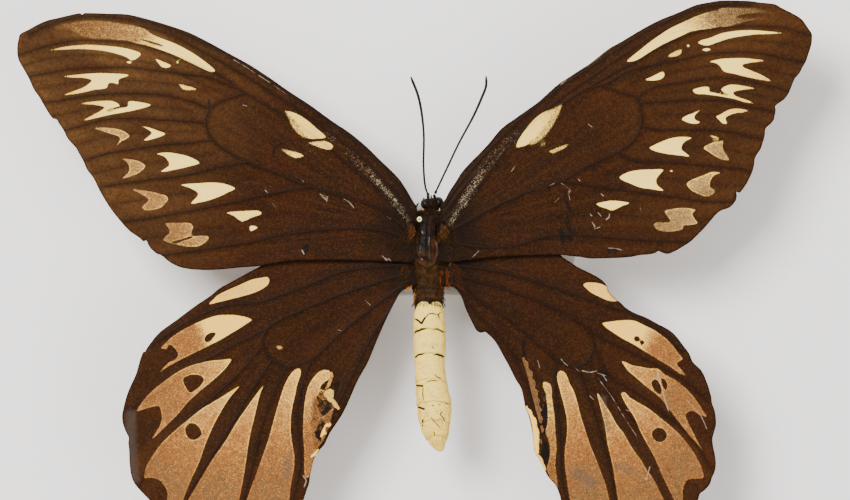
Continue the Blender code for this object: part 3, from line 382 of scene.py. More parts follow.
HIND_RIGHT_VEINS: dict[str, Places] = {
    "costa": ((450, 264), (510, 274), (560, 290), (600, 304), (632, 314), (660, 330), (682, 352)),
    "cell_front": ((450, 273), (510, 291), (560, 311), (586, 328), (594, 342), (590, 358), (577, 367), (556, 360)),
    "cell_back": ((556, 360), (515, 325), (452, 282)),
    "media_1": ((588, 330), (610, 342), (636, 355), (660, 366), (690, 385), (709, 402)),
    "media_2": ((593, 348), (612, 378), (640, 395), (665, 415), (690, 435), (712, 470)),
    "media_3": ((588, 360), (606, 388), (626, 412), (648, 438), (668, 470), (684, 505), (687, 515)),
    "cubitus_1": ((577, 367), (588, 395), (600, 432), (610, 470), (616, 500), (622, 548)),
    "cubitus_2": ((557, 360), (555, 385), (559, 420), (561, 455), (563, 485), (574, 528)),
    "anal": ((452, 290), (482, 320), (508, 348), (528, 388), (540, 430), (549, 465)),
}
HIND_PLEATS = (
    ("media_1", "media_2"), ("media_2", "media_3"), ("media_3", "cubitus_1"), ("cubitus_1", "cubitus_2"),
)

HIND_LEFT_PATCHES = (
    Patch(((209, 304), (213, 299.6), (218, 295), (228, 290), (238, 285.6), (246, 282), (252, 279.6), (260, 278),
           (267.5, 277.3), (269, 280), (268, 284), (265, 287), (258, 291), (250, 294), (240, 296.8), (230, 299.3),
           (219, 302)), (0.27, 0.27), (0.0, 0.0)),
    Patch(((161, 348), (166, 342.5), (172, 337), (181, 331), (190, 326), (200, 321.4), (210, 317.5), (218, 315.4),
           (225, 315), (233, 315), (240, 316), (247, 317.6), (251.3, 320), (246, 324), (240, 328), (230, 334),
           (220, 340), (210, 345), (200, 350), (190, 355), (180, 360), (170, 365.4), (160.5, 371.5), (165, 366),
           (170, 361), (172.4, 356), (171, 351.6), (166, 349)), (0.14, 0.68), (0.0, 0.2), ((209, 333), (198, 338))),
    Patch(((137, 411), (143, 401), (150, 393), (160, 384.6), (170, 377), (180, 370.6), (190, 366), (200, 363),
           (210, 361), (221, 360), (231, 359.6), (228, 365), (222, 372), (212, 381), (200, 391), (188, 402),
           (178, 414), (170, 422), (162, 430), (157, 435), (152, 438.6), (156, 432), (160, 425), (161.6, 418),
           (161, 412), (159, 406.4), (148, 408)), (0.42, 0.7), (0.05, 0.22), ((222, 365), (170, 395))),
    Patch(((239, 386.6), (231, 396), (226, 403), (220, 413), (214, 424), (207, 440), (203, 451), (200, 460), (191, 480),
           (183, 500), (177, 514), (172, 519), (168.6, 512), (167, 500), (167.4, 493), (164, 486), (160, 481),
           (152, 478), (144, 477.6), (145, 471), (147, 465), (153, 455), (160, 445), (170, 435), (180, 426),
           (190, 418), (200, 410), (210, 404), (220, 398), (230, 391.6)), (0.42, 0.78), (0.05, 0.3),
          ((222, 405), (170, 480))),
    Patch(((263, 386), (260, 394), (257, 405), (254, 418), (251, 430), (248, 446), (246, 460), (242, 485), (239, 500),
           (236, 518), (228, 535), (210, 534), (194, 527), (184, 517), (183, 509), (188, 500), (200, 480), (212, 460),
           (219, 450), (226, 440), (233, 428), (240, 417), (246, 408.6), (252, 400)), (0.44, 0.78), (0.05, 0.28),
          ((252, 410), (215, 490))),
    Patch(((299, 368.6), (300.6, 371), (300, 376), (297, 385), (295, 395), (292.6, 405), (291, 415), (290.5, 430),
           (292, 443), (294, 455), (294, 468), (291, 484), (289, 500), (285, 515), (278, 528), (262, 536), (245, 534),
           (243, 520), (246, 502), (250, 490), (255, 477), (260, 463), (265, 449), (269, 437), (272, 426), (275, 415),
           (278, 405), (281, 395), (285, 384), (290, 375), (294.6, 370)), (0.32, 0.78), (0.05, 0.3),
          ((296, 375), (268, 480))),
    Patch(((320, 371.4), (328, 370.4), (331, 374), (329, 379), (322, 384), (319, 392), (316, 402), (313, 414),
           (312, 430), (314, 444), (317, 452), (312, 466), (309, 477), (305.4, 478), (304, 465), (304, 450),
           (303, 438), (303, 425), (303.6, 412), (305, 400), (307, 390), (310, 383), (314, 377)), (0.35, 0.66),
          (0.15, 0.4), ((322, 376), (308, 440))),
    Patch(((311, 398), (320, 395), (329, 397), (334, 404), (332, 416), (328, 430), (322, 443), (315, 450), (311, 436),
           (309, 416)), (0.72, 0.72), (0.62, 0.62)),
    Patch(((324, 392), (329, 389), (334, 391), (333, 398), (329, 404), (326, 408.6), (323.6, 402)), (0.2, 0.3),
          (0.45, 0.45)),
    Patch(((324, 422), (328, 421), (331, 424), (329, 427.6), (325, 427)), (0.18, 0.18), (0.0, 0.0)),
    Patch(((320.4, 426), (323, 429), (324, 435), (322, 440), (320, 441), (318.6, 434)), (0.0, 0.0), (0.1, 0.1)),
    Patch(((276, 346.6), (280, 346), (283, 348), (279, 349.6)), (0.6, 0.6), (0.3, 0.3)),
)
HIND_LEFT_DARK: tuple[Places, ...] = (
    ((204.3, 340), (205.6, 336), (209, 333.4), (213, 332.6), (215.6, 333.4), (213.6, 337), (210, 340.8),
     (206.4, 342.3)),
    ((183, 379), (188, 375.6), (195, 374.6), (201, 376), (203.6, 379.6), (200, 386), (194, 391), (190, 392.6),
     (186, 388), (183.6, 383)),
    ((185.6, 427.6), (190, 423.6), (195, 424), (199.4, 428.4), (201.4, 433), (198.6, 438), (192.6, 440), (187.4, 437),
     (185.4, 432)),
    ((170, 345), (176, 350), (178, 355), (174, 360), (166, 362), (166, 350)),
)
# Dark marks in the torn patch: dark hairs and painted shadow under the flaps.
HIND_LEFT_SOOT_AND_SHADOW: tuple[Places, ...] = (
    ((318, 404), (324, 400), (329, 401), (332, 406), (330, 412), (325, 416), (319, 413)),
    ((334, 384), (340, 381), (338, 391), (334, 398)), ((321, 419), (325, 422), (322, 431), (318, 440), (315, 437),
     (317, 427)),
)
HIND_LEFT_SCRATCHES = (
    Scratch(((312, 392), (318, 386), (324, 383)), 0.4), Scratch(((309, 400), (313, 410), (311, 420)), 0.35),
    Scratch(((333, 409), (325, 416), (318, 420)), 0.4), Scratch(((303, 476), (306, 481), (304, 487)), 0.6),
    Scratch(((365, 300), (371, 306)), 0.3), Scratch(((338, 330), (341, 331)), 0.4),
)

HIND_RIGHT_PATCHES = (
    Patch(((583.6, 285), (586, 283), (592, 282.6), (600, 283.6), (607.6, 287.4), (610.6, 291.6), (614, 296),
           (618, 300.6), (612, 301.3), (606, 299.8), (600, 297), (592, 293), (587, 289)), (0.27, 0.27), (0.0, 0.0)),
    Patch(((602.6, 323.4), (610, 321.8), (620, 320.6), (630, 320.2), (636, 321.3), (645, 325.6), (655, 330.6),
           (665, 337.6), (672, 344.6), (678, 352.6), (682.6, 359), (679, 361.6), (677, 364), (680, 368), (685, 375),
           (680, 373.6), (670, 366.6), (660, 360.6), (650, 354.6), (642, 349.6), (635, 345.2), (622, 338.2),
           (613, 332.4), (606, 327.4)), (0.16, 0.68), (0.0, 0.3), ((640, 336), (656, 346))),
    Patch(((622.4, 361.6), (626, 362.4), (632, 365.2), (640, 366.8), (650, 368.6), (658, 369), (665, 374.6),
           (675, 379.8), (685, 387.6), (692, 394.6), (698, 402.6), (704, 412.4), (706.6, 416.4), (700, 415),
           (694, 411.6),
           (689, 411.6), (685.6, 415.4), (687.4, 421), (692, 430), (697, 440), (702.6, 450.6), (695, 441.6),
           (687, 432.6), (678, 420.6), (668, 407.6), (662, 399.6), (655, 393.4), (645, 385.4), (636, 377.4),
           (628, 370.4)), (0.4, 0.72), (0.08, 0.3), ((632, 368), (672, 392))),
    Patch(((621.6, 393.6), (625, 392.6), (630, 397.6), (640, 403.6), (650, 409.6), (660, 417.6), (670, 425.6),
           (678, 432.6), (685, 440.6), (692, 449.6), (698, 459.6), (703, 471.4), (703.4, 478), (696, 479), (690, 479.4),
           (686, 482), (683, 490), (683, 500), (681, 508), (677, 507), (674, 500), (668, 487.4), (662, 475.4),
           (655, 458.4), (648, 445.4), (640, 430.4), (635, 418.4), (630, 410.4), (624, 400.4)), (0.42, 0.78),
          (0.1, 0.34), ((632, 402), (676, 460))),
    Patch(((597.6, 393.4), (601, 397.6), (605, 404.6), (611, 413.6), (617, 424.6), (624, 433.6), (632, 447.6),
           (640, 458.6), (647, 469.6), (655, 481.6), (660, 491.6), (664, 499.6), (671, 512), (660, 526), (640, 535),
           (624, 533), (619.6, 516), (618, 500), (615, 480), (612, 462), (608, 445), (605, 425), (601.6, 411)),
          (0.44, 0.78), (0.1, 0.32), ((604, 406), (640, 490))),
    Patch(((559.6, 371.4), (563.4, 371.6), (567, 376), (569.6, 383), (574, 391.6), (577.4, 402), (580.6, 415),
           (585.4, 430), (590.4, 445), (596.4, 460), (602.4, 475), (607.4, 490), (610, 503), (613, 520), (606, 535),
           (592, 534), (581, 522), (574, 509), (570.4, 500), (567, 480), (565, 465), (565, 450), (567, 435),
           (567, 420), (564, 405), (560, 390), (557.4, 376)), (0.38, 0.8), (0.1, 0.32), ((564, 380), (590, 480))),
    Patch(((543.6, 382.6), (547, 382.6), (550.6, 385), (552.4, 400), (554.4, 415), (555.4, 430), (556.6, 450),
           (555.6, 465), (557.6, 489), (552, 484), (549, 476), (547, 468), (549, 460), (550, 450), (548.6, 440),
           (545.6, 432), (547.6, 424), (547.6, 410), (546.6, 400), (544.6, 394)), (0.4, 0.7), (0.25, 0.5),
          ((547, 390), (552, 470))),
)
HIND_RIGHT_DARK: tuple[Places, ...] = (
    ((634, 338.6), (636, 336.2), (639, 337), (639.4, 340.4), (636.6, 341.6)),
    ((640, 341), (643, 340.4), (644.4, 343.4), (641.6, 345)),
    ((652, 381.6), (655.6, 379.4), (658.6, 382), (661.6, 389), (661, 394), (657.4, 393), (653.6, 389)),
    ((661.6, 378.6), (665.6, 380.4), (667.4, 385), (666, 390), (663.4, 387.6), (661.8, 383)),
    ((652.6, 432), (656.6, 428.4), (661.6, 428.2), (666, 432), (667, 437), (663, 441.6), (657.6, 441.6), (653, 437.6)),
)
# The first two marks are painted shadow in the dark gap beside the curled inner margin.
HIND_RIGHT_SOOT_AND_SHADOW: tuple[Places, ...] = (
    ((541, 404), (546, 400), (548, 412), (547, 426), (545, 436), (541, 428)), ((545, 440), (549, 446), (549, 462),
     (545, 468), (541, 458)), ((598, 370), (606, 371), (609, 378), (606, 384), (602, 378)),
    ((523, 337), (526.6, 342), (526, 352), (528, 360), (523.4, 356), (521.6, 346)),
)
HIND_RIGHT_SCRATCHES_AND_GLINTS = (
    Scratch(((657, 371), (661, 384), (664, 396), (668.6, 411)), 0.7), Scratch(((661, 383), (656, 378)), 0.3),
    Scratch(((650, 467), (648, 474), (646, 480)), 0.6), Scratch(((687, 400), (694, 408), (701, 416), (707, 429)), 0.4),
    Scratch(((603, 375), (607, 381)), 0.5), Scratch(((538, 361), (540, 368)), 0.4),
    Scratch(((452, 262), (449, 266)), 0.4),
    # The next four lines are painted glints on a crumpled patch, as is the line from (603, 375) above.
    Scratch(((561, 359), (565, 363.6), (568, 366)), 0.5), Scratch(((583, 371), (590, 372.4), (597, 371)), 0.55),
    Scratch(((574, 367), (580, 372)), 0.3), Scratch(((597, 373), (607, 376)), 0.3),
    Scratch(((598, 378), (612, 397), (626, 420), (638, 438)), 0.25), Scratch(((626, 410), (632, 412)), 0.4),
    Scratch(((590, 396), (594, 400)), 0.4),
)
# The first left band is a painted grey sheen along the margin; the right hindwing's bands are grey dusting.
HIND_LEFT_BLOOM_AND_SHEEN = (Scratch(((131, 414), (131, 440), (134, 478)), 7), Scratch(((289, 456), (286, 474)), 6))
HIND_RIGHT_BLOOM = (Scratch(((576, 472), (592, 484)), 8), Scratch(((620, 466), (630, 470)), 6),
                    Scratch(((603, 398), (608, 430)), 4))
HIND_LEFT_ROOT: Places = ((419, 284), (417, 262), (416, 243))
HIND_RIGHT_ROOT: Places = ((437, 284), (439, 262), (440, 243))


# Shapes: lines on the plan, distances to them, and meshes in the making


def on_plan(pixels: Places) -> np.ndarray:
    """Places over the base for places in the picture.

    Args:
        pixels: Columns and rows of the picture.

    Returns:
        One row of X and Y, in metres, for each.
    """
    spots = np.array(pixels, dtype=float)
    return np.column_stack(((spots[:, 0] - CENTRE_COLUMN) * PIXEL, (CENTRE_ROW - spots[:, 1]) * PIXEL))


def spline(points: np.ndarray, step: float, closed: bool = False) -> np.ndarray:
    """A smooth line through points, which it keeps, with more points between them.

    Args:
        points: The points to pass through, one a row, in any number of dimensions.
        step: About how far apart the new points lie.
        closed: Whether the line returns to its start, which isn't given twice.

    Returns:
        The points of the line, one a row.
    """
    if closed:
        ends = np.vstack((points[-1:], points, points[:2]))
    else:
        ends = np.vstack((2 * points[:1] - points[1:2], points, 2 * points[-1:] - points[-2:-1]))
    line = []
    for a, b, c, d in zip(ends, ends[1:], ends[2:], ends[3:]):
        span = np.linalg.norm(c - b)
        count = max(1, round(span / step))
        t0, t1 = 0.0, max(np.sqrt(np.linalg.norm(b - a)), 1e-6)
        t2 = t1 + max(np.sqrt(span), 1e-6)
        t3 = t2 + max(np.sqrt(np.linalg.norm(d - c)), 1e-6)
        t = (t1 + (t2 - t1) * np.arange(count) / count)[:, None]
        ab = ((t1 - t) * a + (t - t0) * b) / (t1 - t0)
        bc = ((t2 - t) * b + (t - t1) * c) / (t2 - t1)
        cd = ((t3 - t) * c + (t - t2) * d) / (t3 - t2)
        abc = ((t2 - t) * ab + (t - t0) * bc) / (t2 - t0)
        bcd = ((t3 - t) * bc + (t - t1) * cd) / (t3 - t1)
        line.append(((t2 - t) * abc + (t - t1) * bcd) / (t2 - t1))
    if not closed:
        line.append(points[-1:])
    return np.vstack(line)


def resample(line: np.ndarray, count: int) -> np.ndarray:
    """The same line with so many evenly spaced points.

    Args:
        line: The line's points, one a row.
        count: How many points to return.

    Returns:
        The evenly spaced points, one a row.
    """
    walked = np.concatenate(([0.0], np.cumsum(np.linalg.norm(np.diff(line, axis=0), axis=1))))
    goals = np.linspace(0.0, walked[-1], count)
    return np.column_stack([np.interp(goals, walked, column) for column in line.T])


CHUNK = 1500


def nearest(points: np.ndarray, lines: list[np.ndarray], halves: list[np.ndarray]) -> tuple[np.ndarray, np.ndarray]:
    """How far each point is from the line whose edge is nearest, and how wide that line is there.

    Args:
        points: Places, one a row.
        lines: Lines of points, each with one point a row.
        halves: Each line's half width at each of its points.

    Returns:
        For each point, its distance to the line's middle and the line's half width.
    """
    starts, ways = np.vstack([line[:-1] for line in lines]), np.vstack([np.diff(line, axis=0) for line in lines])
    first = np.concatenate([half[:-1] for half in halves])
    change = np.concatenate([np.diff(half) for half in halves])
    lengths = np.maximum((ways ** 2).sum(axis=1), 1e-18)
    gaps, widths = [], []
    for chunk in np.array_split(points, max(1, len(points) // CHUNK)):
        away = chunk[:, None, :] - starts[None]
        share = np.clip((away * ways).sum(axis=2) / lengths, 0.0, 1.0)
        gap = np.sqrt(((away - share[..., None] * ways) ** 2).sum(axis=2))
        width = first + share * change
        best = (gap - width).argmin(axis=1)[:, None]
        gaps.append(np.take_along_axis(gap, best, 1)[:, 0])
        widths.append(np.take_along_axis(width, best, 1)[:, 0])
    return np.concatenate(gaps), np.concatenate(widths)


def gap_to(points: np.ndarray, lines: list[np.ndarray]) -> np.ndarray:
    """Shortest distance from each point to any of the lines."""
    return nearest(points, lines, [np.zeros(len(line)) for line in lines])[0]


def border(pixels: Places) -> np.ndarray:
    """The smooth closed border of a mark in the picture."""
    return spline(on_plan(pixels), BORDER_STEP, closed=True)


def unit(vectors: np.ndarray) -> np.ndarray:
    """The same vectors, each of length one."""
    return vectors / np.maximum(np.linalg.norm(vectors, axis=-1, keepdims=True), 1e-12)


def bell(away: np.ndarray, width: float, power: int = 2) -> np.ndarray:
    """A soft bell about a line: 1 on it, falling off over this width."""
    return np.exp(-(away / width) ** power)


def kd_tree(spots: np.ndarray) -> KDTree:
    """A tree that finds the nearest of these places over the base."""
    tree = KDTree(len(spots))
    for index, (x, y) in enumerate(spots):
        tree.insert((x, y, 0), index)
    tree.balance()
    return tree


def inside(points: np.ndarray, ring: np.ndarray) -> np.ndarray:
    """Which points lie inside a closed ring.

    Args:
        points: Places, one a row.
        ring: The ring's points in order, its first not given twice.

    Returns:
        True for each point inside.
    """
    after = np.roll(ring, -1, axis=0)
    x, y = points[:, 0], points[:, 1]
    crossings = np.zeros(len(points), dtype=int)
    for (ax, ay), (bx, by) in zip(ring, after):
        if ay != by:
            spans = (ay > y) != (by > y)
            crossings += spans & (x < ax + (bx - ax) * (y - ay) / (by - ay))
    return crossings % 2 == 1


def depth_in(points: np.ndarray, ring: np.ndarray, reach: float = FAR) -> np.ndarray:
    """How deep each point lies in a ring: positive inside, negative outside.

    Args:
        points: Places, one a row.
        ring: The ring's points in order.
        reach: The most that is measured; points farther out are given minus this.

    Returns:
        One distance for each point.
    """
    depth = np.full(len(points), -reach)
    near = np.all((points > ring.min(axis=0) - reach) & (points < ring.max(axis=0) + reach), axis=1)
    if near.any():
        gap = gap_to(points[near], [np.vstack((ring, ring[:1]))])
        depth[near] = np.where(inside(points[near], ring), gap, -np.minimum(gap, reach))
    return depth


OCTAVES = 3
WAVES = 5


def rumple(points: np.ndarray, size: float, seed: int) -> np.ndarray:
    """Smooth lumps over a surface, from sums of waves in many directions.

    Args:
        points: Places, one a row, in two or three dimensions.
        size: About how long the longest wave is.
        seed: Picks the pattern.

    Returns:
        One value for each point, mostly between -1 and 1.
    """
    draw = np.random.default_rng(seed)
    total = np.zeros(len(points))
    for octave in range(OCTAVES):
        for _ in range(WAVES):
            way = draw.normal(size=points.shape[1])
            way *= math.tau / (size / 2 ** octave) / np.linalg.norm(way)
            total += np.sin(points @ way + draw.uniform(0, math.tau)) / 2 ** octave
    return total / 3.2


def ease(value: np.ndarray | float, low: float, high: float) -> np.ndarray:
    """Smooth step from 0 at one value to 1 at another."""
    share = np.clip((value - low) / (high - low), 0.0, 1.0)
    return share * share * (3 - 2 * share)


@dataclass
class Shape:
    """A mesh in the making: its corners, its faces, and the values that ride on its corners."""

    verts: np.ndarray
    faces: list[np.ndarray]
    values: dict[str, np.ndarray] = field(default_factory=dict)
    chart: np.ndarray | None = None

    def build(self, name: str, finish: bpy.types.Material) -> bpy.types.Object:
        """Make the object, smooth shaded, and let it ride on the only body.

        Args:
            name: The piece's name.
            finish: Its material.

        Returns:
            The new object.
        """
        mesh = bpy.data.meshes.new(name)
        mesh.vertices.add(len(self.verts))
        mesh.vertices.foreach_set("co", self.verts.astype(np.float32).ravel())
        corners = np.concatenate([faces.ravel() for faces in self.faces])
        sizes = np.concatenate([np.full(len(faces), faces.shape[1]) for faces in self.faces])
        mesh.loops.add(len(corners))
        mesh.loops.foreach_set("vertex_index", corners.astype(np.int32))
        mesh.polygons.add(len(sizes))
        mesh.polygons.foreach_set("loop_start", np.concatenate(([0], np.cumsum(sizes)[:-1])).astype(np.int32))
        mesh.update(calc_edges=True)
        mesh.shade_smooth()
        for key, numbers in self.values.items():
            layer = mesh.attributes.new(key, "FLOAT", "POINT")
            layer.data.foreach_set("value", numbers.astype(np.float32))
        if self.chart is not None:
            mesh.uv_layers.new(name=BAKE_MAP).data.foreach_set("uv", self.chart.astype(np.float32).ravel())
        mesh.materials.append(finish)
        piece = bpy.data.objects.new(name, mesh)
        bpy.context.scene.collection.objects.link(piece)
        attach(piece, "root")
        log.info("%s: %d faces", name, len(sizes))
        return piece

    @staticmethod
    def joined(shapes: list["Shape"]) -> "Shape":
        """Several shapes as one, with the values that they share.

        Args:
            shapes: The shapes, none of which has a chart or all of which have one.

        Returns:
            One shape of them all.
        """
        offsets = np.concatenate(([0], np.cumsum([len(shape.verts) for shape in shapes])[:-1]))
        faces = [block + offset for shape, offset in zip(shapes, offsets) for block in shape.faces]
        keys = set.intersection(*(set(shape.values) for shape in shapes))
        values = {key: np.concatenate([shape.values[key] for shape in shapes]) for key in sorted(keys)}
        charts = [shape.chart for shape in shapes]
        chart = None if charts[0] is None else np.vstack(charts)
        return Shape(np.vstack([shape.verts for shape in shapes]), faces, values, chart)


def grid_faces(rings: int, sides: int) -> np.ndarray:
    """Faces of a closed tube of rings, each ring given in the same order.

    Args:
        rings: How many rings there are.
        sides: How many corners each ring has.

    Returns:
        Four corners a row.
    """
    ring, side = np.meshgrid(np.arange(rings - 1), np.arange(sides), indexing="ij")
    after = (side + 1) % sides
    quads = (ring * sides + side, ring * sides + after, (ring + 1) * sides + after, (ring + 1) * sides + side)
    return np.stack(quads, axis=-1).reshape(-1, 4)


def turned(rings: list[np.ndarray], values: dict[str, np.ndarray] | None = None) -> Shape:
    """A tube through rings, closed flat at both ends.

    Args:
        rings: The rings, each with its corners in rows and in the same order.
        values: Values that ride on the corners.

    Returns:
        The tube's shape.
    """
    count, sides = len(rings), len(rings[0])
    end = np.arange(sides)[None]
    faces = [grid_faces(count, sides), end[:, ::-1], (count - 1) * sides + end]
    return Shape(np.vstack(rings), faces, values or {})


def tube(path: np.ndarray, radii: np.ndarray, sides: int = 10) -> Shape:
    """A round limb along a path, closed at both ends.

    Args:
        path: Points of the limb's middle line, one a row.
        radii: Its radius at each of them.
        sides: Corners round the limb.

    Returns:
        The limb's shape, with its share of the way along as the value "along".
    """
    ways = unit(np.gradient(path, axis=0))
    across = np.cross(ways[0], (0.31, 0.17, 0.93))
    angles = math.tau * np.arange(sides) / sides
    rings = []
    for point, way, radius in zip(path, ways, radii):
        across = across - way * (across @ way)
        across /= np.linalg.norm(across)
        upward = np.cross(way, across)
        rings.append(point + radius * (np.cos(angles)[:, None] * across + np.sin(angles)[:, None] * upward))
    return turned(rings, {"along": np.repeat(np.linspace(0, 1, len(path)), sides)})


def ball(centre: np.ndarray, radii: np.ndarray, turn: float, rings: int, sides: int) -> Shape:
    """A rounded body that may be turned about the upright.

    Args:
        centre: Its middle.
        radii: Its half sizes along X, Y and Z.
        turn: How far it is turned about Z.
        rings: Rings from one pole to the other.
        sides: Corners round each ring.

    Returns:
        Its shape, with its height share as the value "along".
    """
    lean = np.linspace(0.06, math.pi - 0.06, rings)
    angles = math.tau * np.arange(sides) / sides
    globe = np.stack((np.sin(lean)[:, None] * np.cos(angles), np.sin(lean)[:, None] * np.sin(angles),
                      np.cos(lean)[:, None] * np.ones(sides)), axis=-1)
    spots = globe * radii
    cos, sin = math.cos(turn), math.sin(turn)
    x, y = spots[..., 0], spots[..., 1]
    spots = np.stack((x * cos - y * sin, x * sin + y * cos, spots[..., 2]), axis=-1)
    shape = turned(list(spots + centre), {"along": (globe[..., 2].ravel() + 1) / 2})
    shape.faces = [block[:, ::-1] for block in shape.faces]
    return shape


@dataclass
class Tufts:
    """Hairs and locks as thin tapered blades, each rooted in a surface and lying along it."""

    roots: np.ndarray
    normals: np.ndarray
    lies: np.ndarray
    lengths: np.ndarray
    widths: np.ndarray | float
    tones: np.ndarray
    chart_roots: np.ndarray
    lift: float = 0.35
    seed: int = 1

    def shape(self) -> Shape:
        """The blades as one shape.

        Returns:
            A shape with the values "tone" and "tip", and a small patch of the chart for each blade.
        """
        draw = np.random.default_rng(self.seed)
        count = len(self.roots)
        normals = unit(self.normals)
        lies = self.lies + draw.normal(scale=0.22, size=(count, 3)) * np.linalg.norm(self.lies, axis=1)[:, None]
        lies = unit(lies - normals * (lies * normals).sum(axis=1)[:, None])
        lift = self.lift * draw.uniform(0.5, 1.6, count)[:, None]
        rise = lies * np.cos(lift) + normals * np.sin(lift)
        fall = lies * np.cos(lift * 0.25) + normals * np.sin(lift * 0.25)
        sway = unit(np.cross(rise, normals))
        bend = sway * draw.normal(scale=0.18, size=count)[:, None]
        length = self.lengths[:, None]
        start = self.roots - normals * 0.12 * MM
        middle = self.roots + rise * length * 0.5
        tip = middle + (fall + bend) * length * 0.55
        half = np.broadcast_to(self.widths, count)[:, None]
        crown = np.cross(sway, rise)
        ring = [sway, -0.5 * sway + 0.8 * crown, -0.5 * sway - 0.8 * crown]
        corners = [start + half * way for way in ring] + [middle + 0.75 * half * way for way in ring] + [tip]
        verts = np.stack(corners, axis=1).reshape(-1, 3)
        first = 7 * np.arange(count)[:, None]
        quads = np.vstack([first + np.array(face) for face in ((0, 1, 4, 3), (1, 2, 5, 4), (2, 0, 3, 5))])
        points = np.vstack([first + np.array(face) for face in ((3, 4, 6), (4, 5, 6), (5, 3, 6), (2, 1, 0))])
        patch = np.array(((0, 0), (1, 0), (0.5, 0.2), (0, 0.5), (1, 0.5), (0.5, 0.6), (0.5, 1))) * 0.003
        spots = (self.chart_roots[:, None, :] + patch).reshape(-1, 2)
        chart = np.vstack((spots[quads.ravel()], spots[points.ravel()]))
        values = {"tone": np.repeat(self.tones, 7), "tip": np.tile((0, 0, 0, 0.5, 0.5, 0.5, 1.0), count)}
        return Shape(verts, [quads, points], values, chart)


# Shading: sockets as values in expressions, and the finishes made of them

Term = "Value | float | int"


class Value:
    """A shader socket that takes part in Python expressions."""

    def __init__(self, graph: "Graph", socket: bpy.types.NodeSocket) -> None:
        self.graph = graph
        self.socket = socket

    def _maths(self, operation: str, *terms: Term) -> "Value":
        """One Math node on these terms."""
        return self.graph.node("Math", {"operation": operation}, dict(enumerate(terms)))

    def __add__(self, other: Term) -> "Value":
        """Sum."""
        return self._maths("ADD", self, other)

    def __radd__(self, other: Term) -> "Value":
        """Sum, with the number first."""
        return self._maths("ADD", other, self)

    def __sub__(self, other: Term) -> "Value":
        """Difference."""
        return self._maths("SUBTRACT", self, other)

    def __rsub__(self, other: Term) -> "Value":
        """Difference, with the number first."""
        return self._maths("SUBTRACT", other, self)

    def __mul__(self, other: Term) -> "Value":
        """Product."""
        return self._maths("MULTIPLY", self, other)

    def __rmul__(self, other: Term) -> "Value":
        """Product, with the number first."""
        return self._maths("MULTIPLY", other, self)

    def most(self, other: Term) -> "Value":
        """The larger of two values."""
        return self._maths("MAXIMUM", self, other)

    def step(self, low: float, high: float, start: float = 0.0, end: float = 1.0) -> "Value":
        """A smooth step between two values of this one.

        Args:
            low: Where the step starts.
            high: Where it ends.
            start: The result before it.
            end: The result after it.

        Returns:
            The stepped value.
        """
        settings = {"interpolation_type": "SMOOTHSTEP"}
        inputs = {"Value": self, "From Min": low, "From Max": high, "To Min": start, "To Max": end}
        return self.graph.node("MapRange", settings, inputs)


def paint(red: int, green: int, blue: int) -> Colour:
    """A screen colour of 0 to 255 as light values.

    Args:
        red: Red part.
        green: Green part.
        blue: Blue part.

    Returns:
        The same colour as the shader takes it.
    """
    parts = [part / 255 for part in (red, green, blue)]
    return tuple(part / 12.92 if part <= 0.04045 else ((part + 0.055) / 1.055) ** 2.4 for part in parts)


